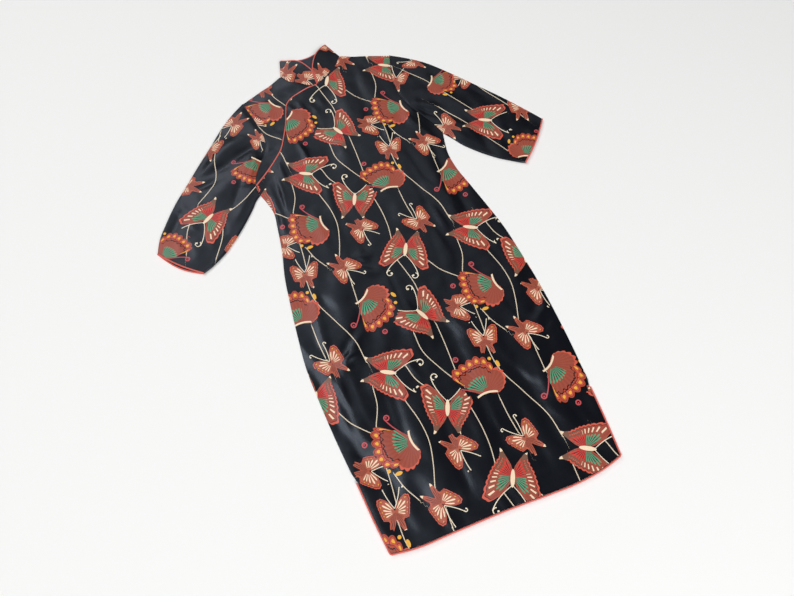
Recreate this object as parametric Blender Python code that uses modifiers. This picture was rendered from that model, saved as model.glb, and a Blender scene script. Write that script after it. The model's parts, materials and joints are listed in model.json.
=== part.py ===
# Mandarin collar dress, laid out flat and face up.
#
# Metres, +Z up. The dress lies along Y, hem at -Y and collar at +Y, and +X is the wearer's left.
# Plans below are drawn from the middle of the hem. At the end the dress is moved so that the
# origin is under the middle of its box.
#
# Pieces as they are cut: back, front, right front underlap, two set-in sleeves, collar and its
# facing, and the bias piping of the collar, the placket, the cuffs, the hems and the side slits.

import math

import bmesh
import bpy
import numpy as np

# Thicknesses
WALL = 0.0012
COLLAR_PLY = 0.0010
PIPING = 0.0030
COLLAR_PIPING = 0.0024
GAP = 0.0003
SEAM = 0.0005

# Heights that the layers reach
FRONT_FLOOR = WALL + GAP
LOW_PIPING = PIPING / 2 + GAP
HIGH_PIPING = LOW_PIPING + PIPING + GAP
HEM_LIFT = HIGH_PIPING - WALL / 2 - FRONT_FLOOR
PLACKET_LIFT = GAP + PIPING / 2 + WALL / 2
NECK_LIFT = 0.0034
NECK_HEIGHT = FRONT_FLOOR + NECK_LIFT + WALL / 2
SLEEVE_RISE = 0.0033
CUFF_RISE = 0.0063
BODY_AIR = 0.0016
SLEEVE_AIR = 0.0010

# How far those rises spread from their edge
HEM_SPREAD = 0.035
PLACKET_SPREAD = 0.050
NECK_SPREAD = 0.035
SIDE_SPREAD = 0.060

# Cut
SLIT = 0.130
SLIT_TOP_TAPER = 0.016
CORNER_CUT = 0.0011
SLEEVE_CORNER = 0.0009
CORNER_BEND = 0.0030
CUFF_BOW = 0.0040
CUFF_GAPE = 0.0050

# Mesh steps
ACROSS = 26
HEM_TO_SLIT = 4
SLIT_TO_UNDERARM = 17
ARMHOLE = 14
PLACKET_END = 13
COLLAR_FRONT = 7
COLLAR_BACK = 9
COLLAR_FOLD = 4
COLLAR_HEIGHT_STEPS = 3
BACK_SHOULDER = 7
ACROSS_SHOULDER = 3
ACROSS_PLACKET = ACROSS - COLLAR_FRONT - ACROSS_SHOULDER - 2
SLEEVE_LENGTH_STEPS = 10
SLEEVE_TURNS = (45.0, 90.0, 135.0)
CUFF_TURNS = (0.0, 36.0, 72.0, 108.0, 144.0, 180.0)
SLIT_STEPS = 5
COLLAR_EDGE_STEPS = 4
PIPING_SIDES = 2
SAMPLES_PER_ROW = 30
SIDE_SAMPLES = 200
SHARP_ANGLE = 50.0
WELD = 1e-6

# Side edges. Columns: height above the hem, right edge x, left edge x
SIDES = [
    (0.0000, -0.2175, 0.2175),
    (0.0600, -0.2245, 0.2235),
    (0.1300, -0.2305, 0.2290),
    (0.2000, -0.2378, 0.2350),
    (0.2800, -0.2435, 0.2385),
    (0.3600, -0.2467, 0.2390),
    (0.4300, -0.2420, 0.2360),
    (0.5000, -0.2349, 0.2311),
    (0.5600, -0.2275, 0.2215),
    (0.6200, -0.2150, 0.2105),
    (0.6800, -0.2070, 0.2000),
    (0.7150, -0.2035, 0.1995),
    (0.7450, -0.2095, 0.2050),
    (0.7715, -0.2180, 0.2115),
]

# Hem line. Columns: x, y
HEM = [
    (-0.2175, 0.0000),
    (-0.1750, -0.0062),
    (-0.1050, -0.0072),
    (0.0000, -0.0086),
    (0.0700, -0.0120),
    (0.1200, -0.0136),
    (0.1750, -0.0094),
    (0.2175, 0.0000),
]

# Armhole seams from the shoulder to the underarm. Columns: x, y
RIGHT_ARMHOLE = [
    (-0.1850, 1.0300),
    (-0.1780, 1.0000),
    (-0.1705, 0.9600),
    (-0.1665, 0.9250),
    (-0.1680, 0.9000),
    (-0.1770, 0.8770),
    (-0.1930, 0.8520),
    (-0.2110, 0.8240),
    (-0.2205, 0.7965),
    (-0.2180, 0.7715),
]
LEFT_ARMHOLE = [
    (0.1850, 1.0350),
    (0.1745, 1.0000),
    (0.1650, 0.9620),
    (0.1605, 0.9280),
    (0.1640, 0.8980),
    (0.1730, 0.8680),
    (0.1860, 0.8370),
    (0.2010, 0.8050),
    (0.2115, 0.7715),
]

# Shoulder seams start here, beside the collar. Columns: x, y
RIGHT_NECK_POINT = (-0.0830, 1.0702)
LEFT_NECK_POINT = (0.0768, 1.0762)

# Middle of the placket's piping, from the underarm to the centre front. Columns: x, y
PLACKET = [
    (-0.2188, 0.7960),
    (-0.1900, 0.8190),
    (-0.1570, 0.8500),
    (-0.1410, 0.8680),
    (-0.1230, 0.9020),
    (-0.1065, 0.9400),
    (-0.0980, 0.9660),
    (-0.0900, 0.9870),
    (-0.0780, 0.9985),
    (-0.0600, 1.0065),
    (-0.0350, 1.0120),
    (-0.0065, 1.0140),
]

# Hidden edge of the underlap, below the placket. Columns: x, y
UNDERLAP_EDGE = [
    (-0.2085, 0.7810),
    (-0.1770, 0.8060),
    (-0.1450, 0.8370),
    (-0.1270, 0.8590),
    (-0.1070, 0.8960),
    (-0.0900, 0.9330),
    (-0.0740, 0.9640),
    (-0.0540, 0.9850),
    (-0.0300, 0.9940),
    (-0.0064, 0.9960),
]

# Collar from its centre front edge to its side fold. Columns: base x, y, z, top x, y, z
RIGHT_COLLAR = [
    (-0.0064, 1.0178, NECK_HEIGHT, -0.0064, 1.0590, 0.0125),
    (-0.0260, 1.0225, NECK_HEIGHT, -0.0205, 1.0860, 0.0140),
    (-0.0440, 1.0385, NECK_HEIGHT, -0.0340, 1.1000, 0.0130),
    (-0.0640, 1.0510, NECK_HEIGHT, -0.0500, 1.1075, 0.0110),
    (-0.0765, 1.0712, NECK_HEIGHT, -0.0635, 1.1160, 0.0085),
]
LEFT_COLLAR = [
    (-0.0006, 1.0178, NECK_HEIGHT, -0.0006, 1.0590, 0.0125),
    (0.0150, 1.0245, NECK_HEIGHT, 0.0085, 1.0790, 0.0140),
    (0.0320, 1.0385, NECK_HEIGHT, 0.0210, 1.0985, 0.0140),
    (0.0530, 1.0535, NECK_HEIGHT, 0.0360, 1.1130, 0.0120),
    (0.0710, 1.0772, NECK_HEIGHT, 0.0510, 1.1230, 0.0085),
]

# Back of the collar between its two folds. Columns as above
BACK_COLLAR = [
    (-0.0765, 1.0712, 0.0015, -0.0635, 1.1150, 0.0023),
    (-0.0400, 1.0625, 0.0015, -0.0370, 1.1090, 0.0023),
    (-0.0020, 1.0605, 0.0015, -0.0050, 1.1055, 0.0023),
    (0.0380, 1.0650, 0.0015, 0.0250, 1.1115, 0.0023),
    (0.0710, 1.0772, 0.0015, 0.0510, 1.1210, 0.0023),
]

# Sleeve edges from the armhole to the cuff. Columns: x, y
RIGHT_SLEEVE_TOP = [
    (-0.1850, 1.0300),
    (-0.2200, 1.0062),
    (-0.2500, 0.9790),
    (-0.2848, 0.9400),
    (-0.3228, 0.8990),
    (-0.3575, 0.8600),
    (-0.3933, 0.8200),
    (-0.4226, 0.7800),
    (-0.4470, 0.7400),
    (-0.4560, 0.7140),
]
RIGHT_SLEEVE_UNDER = [
    (-0.2180, 0.7715),
    (-0.2290, 0.7610),
    (-0.2400, 0.7459),
    (-0.2600, 0.7219),
    (-0.2800, 0.7000),
    (-0.3000, 0.6807),
    (-0.3200, 0.6633),
    (-0.3400, 0.6500),
    (-0.3600, 0.6390),
    (-0.3760, 0.6325),
]
LEFT_SLEEVE_TOP = [
    (0.1850, 1.0350),
    (0.2200, 1.0113),
    (0.2562, 0.9790),
    (0.2870, 0.9400),
    (0.3155, 0.9000),
    (0.3430, 0.8600),
    (0.3705, 0.8200),
    (0.3960, 0.7800),
    (0.4200, 0.7400),
    (0.4320, 0.7190),
]
LEFT_SLEEVE_UNDER = [
    (0.2115, 0.7715),
    (0.2240, 0.7500),
    (0.2400, 0.7217),
    (0.2600, 0.6962),
    (0.2800, 0.6744),
    (0.3000, 0.6560),
    (0.3200, 0.6410),
    (0.3380, 0.6280),
    (0.3425, 0.6255),
]

# Largest folds. Columns: start x, y, end x, y, half width, height (a trough is below 0)
BODY_FOLDS = [
    (-0.1500, 0.5400, -0.1720, 0.3300, 0.026, 0.0052),
    (-0.1950, 0.5400, -0.1960, 0.2900, 0.014, -0.0016),
    (-0.0320, 0.5600, -0.0350, 0.1900, 0.017, 0.0026),
    (0.1140, 0.7800, 0.1120, 0.4400, 0.010, -0.0014),
    (-0.0850, 0.7700, -0.0840, 0.5800, 0.010, -0.0014),
    (0.1580, 0.3300, 0.1560, 0.0100, 0.020, 0.0034),
    (0.1260, 0.3000, 0.1350, 0.0100, 0.012, -0.0014),
    (0.0700, 0.4700, 0.0820, 0.1200, 0.030, 0.0020),
    (-0.0820, 0.2400, -0.0900, 0.0000, 0.030, 0.0028),
    (-0.1720, 0.8100, -0.1760, 0.6500, 0.010, 0.0030),
    (0.1450, 0.7600, 0.1500, 0.5000, 0.018, 0.0026),
    (-0.2280, 0.2700, -0.1900, 0.1700, 0.014, 0.0026),
    (0.2100, 0.3100, 0.1800, 0.2300, 0.013, 0.0022),
]
RIGHT_SLEEVE_FOLDS = [
    (-0.1900, 0.9300, -0.3000, 0.9100, 0.020, 0.0026),
    (-0.2000, 0.8700, -0.3300, 0.7900, 0.022, 0.0026),
    (-0.2200, 0.8100, -0.2900, 0.7100, 0.014, 0.0020),
    (-0.3300, 0.8100, -0.4000, 0.7200, 0.018, 0.0018),
]
LEFT_SLEEVE_FOLDS = [
    (0.1800, 0.8800, 0.2450, 0.8300, 0.012, 0.0026),
    (0.2100, 0.9300, 0.2900, 0.8000, 0.020, 0.0024),
    (0.2150, 0.8200, 0.2600, 0.7000, 0.012, 0.0020),
    (0.3000, 0.8300, 0.3800, 0.7000, 0.020, 0.0018),
]

# Colours, linear. Columns: red, green, blue, roughness
SATIN = (0.012, 0.014, 0.021, 0.35)
LINING = (0.030, 0.034, 0.046, 0.45)
PIPING_SATIN = (0.620, 0.085, 0.060, 0.40)


def smooth_rows(rows, steps):
    """Points at equal steps along one smooth curve through the rows of a table."""
    rows = np.array(rows, float)
    along = np.concatenate([[0.0], np.cumsum(np.linalg.norm(np.diff(rows, axis=0), axis=1))])
    slope = np.gradient(rows, along, axis=0)
    fine = np.linspace(0.0, along[-1], SAMPLES_PER_ROW * len(rows))
    cell = np.clip(np.searchsorted(along, fine, side="right") - 1, 0, len(rows) - 2)
    span = (along[cell + 1] - along[cell])[:, None]
    t = (fine - along[cell])[:, None] / span
    curve = (
        (2 * t**3 - 3 * t**2 + 1) * rows[cell]
        + (t**3 - 2 * t**2 + t) * span * slope[cell]
        + (3 * t**2 - 2 * t**3) * rows[cell + 1]
        + (t**3 - t**2) * span * slope[cell + 1]
    )
    length = np.concatenate([[0.0], np.cumsum(np.linalg.norm(np.diff(curve, axis=0), axis=1))])
    even = np.linspace(0.0, length[-1], steps + 1)
    return np.column_stack([np.interp(even, length, column) for column in curve.T])


def chain(*paths):
    """Paths that meet end to end, joined into one."""
    return np.vstack([paths[0]] + [path[1:] for path in paths[1:]])


def offset(path, distance):
    """The path moved sideways in plan, to the left of its direction of travel."""
    direction = np.gradient(path[:, :2], axis=0)
    direction /= np.linalg.norm(direction, axis=1)[:, None]
    moved = path.copy()
    moved[:, 0] -= direction[:, 1] * distance
    moved[:, 1] += direction[:, 0] * distance
    return moved


def distance_to(path, x, y):
    """Distance in plan from each point to the nearest point of a path."""
    start = path[:-1, :2]
    run = path[1:, :2] - start
    point = np.stack([x, y], -1)[..., None, :]
    t = ((point - start) * run).sum(-1) / (run * run).sum(-1)
    nearest = start + np.clip(t, 0.0, 1.0)[..., None] * run
    return np.linalg.norm(point - nearest, axis=-1).min(-1)


def fade(distance, reach):
    """1 at no distance, 0 past the reach, with a soft start and end."""
    t = np.clip(1.0 - distance / reach, 0.0, 1.0)
    return t * t * (3.0 - 2.0 * t)


def fold_height(table, x, y):
    """Height that soft straight folds add at each point."""
    total = np.zeros_like(x)
    for start_x, start_y, end_x, end_y, half_width, height in table:
        run_x = end_x - start_x
        run_y = end_y - start_y
        length = math.hypot(run_x, run_y)
        along = ((x - start_x) * run_x + (y - start_y) * run_y) / length**2
        across = ((x - start_x) * run_y - (y - start_y) * run_x) / length
        ends = np.clip(4.0 * along * (1.0 - along), 0.0, 1.0)
        total += height * ends * np.exp(-((across / half_width) ** 2))
    return total


def coons(bottom, top, left, right):
    """Grid of plan points that fills four border paths."""
    u = np.linspace(0.0, 1.0, len(bottom))[None, :, None]
    v = np.linspace(0.0, 1.0, len(left))[:, None, None]
    corners = (
        (1 - u) * (1 - v) * bottom[0]
        + u * (1 - v) * bottom[-1]
        + (1 - u) * v * top[0]
        + u * v * top[-1]
    )
    rows = (1 - v) * bottom[None] + v * top[None]
    columns = (1 - u) * left[:, None] + u * right[:, None]
    return rows + columns - corners


def side_path(side, heights, inset):
    """Side edge at the given heights: side is 1 for the right edge's column, 2 for the left."""
    table = smooth_rows(SIDES, SIDE_SAMPLES)
    x = np.interp(heights, table[:, 0], table[:, side])
    inward = 1.0 if side == 1 else -1.0
    return np.column_stack([x + inward * inset, heights])


def slit_inset(heights):
    """How far a panel's side stands in for the piping of the slit."""
    taper = np.clip((SLIT + SLIT_TOP_TAPER - heights) / SLIT_TOP_TAPER, 0.0, 1.0)
    return (PIPING + GAP) * taper


def panel_side(side):
    """Side edge of the front and back, from the hem to the underarm."""
    lower = np.linspace(PIPING + GAP + CORNER_CUT, SLIT, HEM_TO_SLIT + 1)
    upper = np.linspace(SLIT + SLIT_TOP_TAPER, SIDES[-1][0], SLIT_TO_UNDERARM + 1)
    heights = np.concatenate([lower, upper])
    path = side_path(side, heights, slit_inset(heights))
    path[0, 0] += CORNER_CUT if side == 1 else -CORNER_CUT
    return path


def hem_edge(start_x, end_x):
    """Lower edge of a panel, above its piping."""
    hem = smooth_rows(HEM, ACROSS)
    x = np.linspace(start_x, end_x, ACROSS + 1)
    y = np.interp(x, hem[:, 0], hem[:, 1]) + PIPING + GAP
    y[[0, -1]] += CORNER_CUT
    return np.column_stack([x, y])


def hem_piping_path(height):
    """Up one slit, along the hem and up the other slit."""
    middle = PIPING / 2
    hem = smooth_rows(HEM, 2 * ACROSS)
    turn = middle + CORNER_BEND
    rise = np.linspace(turn, SLIT, SLIT_STEPS + 1)
    right = side_path(1, rise, middle)
    left = side_path(2, rise, middle)
    x = np.linspace(right[0, 0] + CORNER_BEND, left[0, 0] - CORNER_BEND, ACROSS + 1)
    along = np.column_stack([x, np.interp(x, hem[:, 0], hem[:, 1]) + middle])
    bend = math.radians(45.0)
    right_turn = right[0] + CORNER_BEND * np.array([1 - math.cos(bend), -math.sin(bend)])
    left_turn = left[0] + CORNER_BEND * np.array([math.cos(bend) - 1, -math.sin(bend)])
    plan = np.vstack([right[::-1], [right_turn], along, [left_turn], left])
    return np.column_stack([plan, np.full(len(plan), height)])


def collar_line():
    """Stations of the collar all round: base x, y, z, top x, y, z.

    It runs from the right centre front edge round the back to the left one. At each side fold
    the stations go round a half circle that stands on edge.
    """
    right = smooth_rows(RIGHT_COLLAR, COLLAR_FRONT)
    back = smooth_rows(BACK_COLLAR, COLLAR_BACK)
    left = smooth_rows(LEFT_COLLAR, COLLAR_FRONT)[::-1]
    right_fold = fold_stations(right[-1], back[0], -1.0)
    left_fold = fold_stations(back[-1], left[0], 1.0)
    return np.vstack([right, right_fold, back, left_fold, left])


def fold_stations(first, last, outward):
    """Half circles from one layer of the collar to the other, at its base and its top."""
    stations = []
    for step in range(1, COLLAR_FOLD):
        angle = math.pi * step / COLLAR_FOLD
        station = (first + last) / 2 + (first - last) / 2 * math.cos(angle)
        for column in (0, 3):
            radius = abs(first[column + 2] - last[column + 2]) / 2
            station[column] += outward * radius * math.sin(angle)
        stations.append(station)
    return np.array(stations)


def placket_edge():
    """Free edge of the front, inside its piping, from the underarm to the centre front."""
    line = smooth_rows(PLACKET, ACROSS_PLACKET)
    return offset(line, -(PIPING / 2 + GAP))


def front_floor(x, y, edges):
    """Underside of the front: it clears the back, the underlap and the piping below it."""
    lift = HEM_LIFT * fade(distance_to(edges["hem"], x, y), HEM_SPREAD)
    lift = np.maximum(lift, PLACKET_LIFT * fade(distance_to(edges["placket"], x, y), PLACKET_SPREAD))
    lift = lift + NECK_LIFT * fade(distance_to(edges["neck"], x, y), NECK_SPREAD)
    inside = 1.0 - fade(distance_to(edges["outline"], x, y), SIDE_SPREAD)
    air = inside * (BODY_AIR + fold_height(BODY_FOLDS, x, y))
    return FRONT_FLOOR + lift + np.maximum(air, 0.0)


def underlap_floor(x, y, edges):
    """Underside of the underlap, which rises only where the collar is sewn on."""
    return FRONT_FLOOR + NECK_LIFT * fade(distance_to(edges["neck"], x, y), NECK_SPREAD)


def plan_edges():
    """Shared seam lines, each worked out once."""
    right_armhole = smooth_rows(RIGHT_ARMHOLE, ARMHOLE)
    left_armhole = smooth_rows(LEFT_ARMHOLE, ARMHOLE)
    neck_right = offset(smooth_rows(RIGHT_COLLAR, COLLAR_FRONT)[:, :2], SEAM)
    neck_left = offset(smooth_rows(LEFT_COLLAR, COLLAR_FRONT)[:, :2], -SEAM)
    neck_back = offset(smooth_rows(BACK_COLLAR, COLLAR_BACK)[:, :2], -SEAM)
    placket = placket_edge()
    right_side = panel_side(1)
    left_side = panel_side(2)
    hem = hem_edge(right_side[0, 0], left_side[0, 0])
    outline = np.vstack([chain(right_armhole, right_side[::-1]), chain(left_side, left_armhole[::-1])])
    return {
        "right_armhole": right_armhole,
        "left_armhole": left_armhole,
        "neck_right": neck_right,
        "neck_left": neck_left,
        "neck_back": neck_back,
        "neck": np.vstack([neck_right[::-1], neck_left]),
        "placket": placket,
        "right_side": right_side,
        "left_side": left_side,
        "hem": chain(right_side[HEM_TO_SLIT::-1], hem, left_side[: HEM_TO_SLIT + 1]),
        "hem_edge": hem,
        "outline": outline,
    }


def material(name, finish):
    """Plain satin in one colour."""
    made = bpy.data.materials.new(name)
    made.use_nodes = True
    shader = made.node_tree.nodes["Principled BSDF"]
    shader.inputs["Base Color"].default_value = (*finish[:3], 1.0)
    shader.inputs["Roughness"].default_value = finish[3]
    shader.inputs["Metallic"].default_value = 0.0
    return made


def add_object(name, data, finish, collection, parent):
    """Put a mesh or curve in the scene as one named piece."""
    piece = bpy.data.objects.new(name, data)
    data.materials.append(material(name + "_satin", finish))
    piece.parent = parent
    collection.objects.link(piece)
    return piece


def cloth_mesh(name, points, closed=False):
    """Open surface through rows of points, from Blender's grid, its last column welded if closed."""
    rows, columns = points.shape[:2]
    sheet = bmesh.new()
    bmesh.ops.create_grid(sheet, x_segments=columns - 1, y_segments=rows - 1, size=1.0)
    sheet.verts.ensure_lookup_table()
    for vert, point in zip(sheet.verts, points.reshape(-1, 3)):
        vert.co = point
    if closed:
        bmesh.ops.remove_doubles(sheet, verts=sheet.verts, dist=WELD)
    sheet.normal_update()
    mesh = bpy.data.meshes.new(name)
    sheet.to_mesh(mesh)
    sheet.free()
    mesh.shade_smooth()
    mesh.set_sharp_from_angle(angle=math.radians(SHARP_ANGLE))
    return mesh


def thicken(piece, thickness, outward):
    """Give the open surface its wall, on the side its faces point to or away from it."""
    wall = piece.modifiers.new("wall", "SOLIDIFY")
    wall.thickness = thickness
    wall.offset = 1.0 if outward else -1.0
    wall.use_even_offset = True


def add_piping(name, points, diameter, collection, parent, cyclic=False):
    """Round bias piping along a path."""
    curve = bpy.data.curves.new(name, "CURVE")
    curve.dimensions = "3D"
    curve.bevel_depth = diameter / 2
    curve.bevel_resolution = PIPING_SIDES
    curve.use_fill_caps = not cyclic
    line = curve.splines.new("POLY")
    line.points.add(len(points) - 1)
    for spot, point in zip(line.points, points):
        spot.co = (*point, 1.0)
    line.use_cyclic_u = cyclic
    return add_object(name, curve, PIPING_SATIN, collection, parent)


def add_back(edges, collection, parent):
    """Back: flat on the floor, from the hem to the shoulders and the back of the neck."""
    right = chain(edges["right_side"], edges["right_armhole"][::-1])
    left = chain(edges["left_side"], edges["left_armhole"][::-1])
    right_shoulder = np.linspace(right[-1], RIGHT_NECK_POINT, BACK_SHOULDER + 1)
    left_shoulder = np.linspace(LEFT_NECK_POINT, left[-1], ACROSS - COLLAR_BACK - BACK_SHOULDER - 1)
    top = np.vstack([right_shoulder, edges["neck_back"], left_shoulder])
    plan = coons(edges["hem_edge"], top, right, left)
    points = np.dstack([plan, np.zeros(plan.shape[:2])])
    piece = add_object("back", cloth_mesh("back", points), SATIN, collection, parent)
    thicken(piece, WALL, True)


def add_front(edges, collection, parent):
    """Front: from the hem to the placket, the left of the neck and the left shoulder."""
    right = chain(edges["right_side"], edges["right_armhole"][: PLACKET_END - 1 : -1])
    left = chain(edges["left_side"], edges["left_armhole"][::-1])
    right = resample(right, len(left) - 1, HEM_TO_SLIT + 1)
    right[-1] = edges["placket"][0]
    shoulder = np.linspace(LEFT_NECK_POINT, left[-1], ACROSS_SHOULDER + 1)
    top = np.vstack([edges["placket"], edges["neck_left"], shoulder])
    plan = coons(edges["hem_edge"], top, right, left)
    x = plan[..., 0]
    y = plan[..., 1]
    points = np.dstack([x, y, front_floor(x, y, edges)])
    piece = add_object("front", cloth_mesh("front", points), SATIN, collection, parent)
    thicken(piece, WALL, True)


def resample(path, steps, keep):
    """The path with its first points kept and the rest spread anew, for a given count of steps."""
    rest = path[keep:]
    length = np.concatenate([[0.0], np.cumsum(np.linalg.norm(np.diff(rest, axis=0), axis=1))])
    even = np.linspace(0.0, length[-1], steps - keep + 1)
    spread = np.column_stack([np.interp(even, length, column) for column in rest.T])
    return np.vstack([path[:keep], spread])


def add_underlap(edges, collection, parent):
    """Right front underlap: shoulder, armhole and the strip that runs on under the placket."""
    armhole = edges["right_armhole"][PLACKET_END::-1]
    neck = edges["neck_right"][::-1]
    hidden = smooth_rows(UNDERLAP_EDGE, PLACKET_END - 1)
    shoulder = np.linspace(armhole[-1], RIGHT_NECK_POINT, ACROSS_SHOULDER + 2)
    top = np.vstack([shoulder, neck])
    bottom = np.linspace(armhole[0], hidden[0], len(top))
    plan = coons(bottom, top, armhole, np.vstack([hidden, neck[-1:]]))
    x = plan[..., 0]
    y = plan[..., 1]
    points = np.dstack([x, y, underlap_floor(x, y, edges)])
    mesh = cloth_mesh("right_front_underlap", points)
    piece = add_object("right_front_underlap", mesh, SATIN, collection, parent)
    thicken(piece, WALL, True)


def sleeve_rings(top_rows, under_rows, armhole, folds, outward, gape):
    """Rings of the flattened sleeve from the armhole to the cuff, and its length direction."""
    top = smooth_rows(top_rows, SLEEVE_LENGTH_STEPS)
    under = smooth_rows(under_rows, SLEEVE_LENGTH_STEPS)
    share = np.linspace(0.0, 1.0, ARMHOLE + 1)[:, None]
    seam = offset(armhole, -outward * GAP)
    seam[0, 0] -= outward * SLEEVE_CORNER
    bulge = seam - (seam[0] + share * (seam[-1] - seam[0]))
    top[0] = seam[0]
    under[0] = seam[-1]
    cuff_way = (top[-1] + under[-1] - top[-2] - under[-2])
    cuff_way /= np.linalg.norm(cuff_way)
    rings = []
    for step in range(SLEEVE_LENGTH_STEPS + 1):
        s = step / SLEEVE_LENGTH_STEPS
        across = under[step] - top[step]
        width = np.linalg.norm(across)
        across /= width
        radius = (SLEEVE_RISE + (CUFF_RISE - SLEEVE_RISE) * s) / 2
        tuck = radius if step else 0.0
        inner = (tuck + share * (width - 2 * tuck)) * across
        bow = np.sin(math.pi * share) * cuff_way * s**3
        line = top[step] + inner + bulge * (1 - s) ** 2 + bow * CUFF_BOW
        under_line = line + bow * gape
        air = np.sin(math.pi * share[:, 0]) * math.sin(math.pi * s)
        relief = SLEEVE_AIR + fold_height(folds, line[:, 0], line[:, 1])
        height = 2 * radius + np.maximum(air * relief, 0.0)
        upper = np.column_stack([line, height])
        lower = np.column_stack([under_line, np.zeros(len(line))])[::-1]
        turns = [math.radians(angle) for angle in SLEEVE_TURNS]
        under_turn = [
            (*(line[-1] + across * radius * math.sin(turn)), radius * (1 + math.cos(turn)))
            for turn in turns
        ]
        top_turn = [
            (*(line[0] - across * radius * math.sin(turn)), radius * (1 - math.cos(turn)))
            for turn in turns
        ]
        rings.append(np.vstack([upper, under_turn, lower, top_turn, upper[:1]]))
    return np.array(rings), cuff_way


def add_sleeve(name, rings, outward, collection, parent):
    """Set-in sleeve: one flattened tube, open at the armhole and at the cuff."""
    if outward > 0:
        rings = rings[:, ::-1]
    piece = add_object(name, cloth_mesh(name, rings, closed=True), SATIN, collection, parent)
    thicken(piece, WALL, False)


def cuff_piping_path(ring, cuff_way):
    """Closed loop just past the sleeve's edge."""
    upper = ring[: ARMHOLE + 1]
    first_lower = ARMHOLE + 1 + len(SLEEVE_TURNS)
    lower = ring[first_lower : first_lower + ARMHOLE + 1]
    beyond = np.array([*cuff_way, 0.0]) * (PIPING / 2 + GAP)
    high = upper[1:-1] + beyond
    low = lower[1:-1] + beyond
    high[:, 2] = CUFF_RISE - WALL / 2
    low[:, 2] = LOW_PIPING
    middle = (high[0, 2] + LOW_PIPING) / 2
    radius = (high[0, 2] - LOW_PIPING) / 2
    turns = [math.radians(angle) for angle in CUFF_TURNS]

    def turn(corner, away, first_high):
        lift = 1.0 if first_high else -1.0
        return [
            (
                corner[0] + away[0] * radius * math.sin(angle),
                corner[1] + away[1] * radius * math.sin(angle),
                middle + lift * radius * math.cos(angle),
            )
            for angle in turns
        ]

    away = upper[-1, :2] - upper[0, :2]
    away /= np.linalg.norm(away)
    under_turn = turn(upper[-1] + beyond, away, True)
    top_turn = turn(upper[0] + beyond, -away, False)
    return np.vstack([high, under_turn, low, top_turn])


def add_collar(line, collection, parent):
    """Stand collar and its facing, two plies with the seam's gap between them."""
    share = np.linspace(0.0, 1.0, COLLAR_HEIGHT_STEPS + 1)[:, None, None]
    points = ((1 - share) * line[None, :, :3] + share * line[None, :, 3:])[:, ::-1]
    for name, finish, outward in (("collar", SATIN, True), ("collar_facing", LINING, False)):
        mesh = cloth_mesh(name, points)
        shift = GAP / 2 if outward else -GAP / 2
        normals = [vert.normal.copy() for vert in mesh.vertices]
        for vert, normal in zip(mesh.vertices, normals):
            vert.co += normal * shift
        piece = add_object(name, mesh, finish, collection, parent)
        thicken(piece, COLLAR_PLY, outward)


def collar_piping_path(line):
    """Up one centre front edge, round the top and down the other."""
    reach = COLLAR_PIPING / 2 + GAP
    base = line[:, :3]
    top = line[:, 3:]
    along = np.gradient(top, axis=0)
    along /= np.linalg.norm(along, axis=1)[:, None]
    up = top - base
    up -= (up * along).sum(axis=1)[:, None] * along
    rim = top + reach * up / np.linalg.norm(up, axis=1)[:, None]
    right_edge = collar_front_piping(base[0], top[0], -reach)
    left_edge = collar_front_piping(base[-1], top[-1], reach)
    return np.vstack([right_edge, rim[1:-1], left_edge[::-1]])


def collar_front_piping(base, top, side):
    """Beside one centre front edge, from the base to the top."""
    share = np.linspace(0.0, 1.0, COLLAR_EDGE_STEPS + 1)[:, None]
    edge = (1 - share) * base + share * top
    edge[:, 0] -= side
    return edge


def centre_on_floor(parent, pieces):
    """Move the dress so that the origin lies under the middle of its box."""
    bpy.context.view_layer.update()
    graph = bpy.context.evaluated_depsgraph_get()
    corners = []
    for piece in pieces:
        solid = piece.evaluated_get(graph)
        mesh = solid.to_mesh()
        corners.extend(solid.matrix_world @ vert.co for vert in mesh.vertices)
        solid.to_mesh_clear()
    low = np.min(corners, axis=0)
    high = np.max(corners, axis=0)
    parent.location = (-(low[0] + high[0]) / 2, -(low[1] + high[1]) / 2, -low[2])
    print("dress box, mm:", np.round((high - low) * 1000.0, 1))
    print("origin of the plans, m:", np.round(np.array(parent.location), 5))


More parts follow.
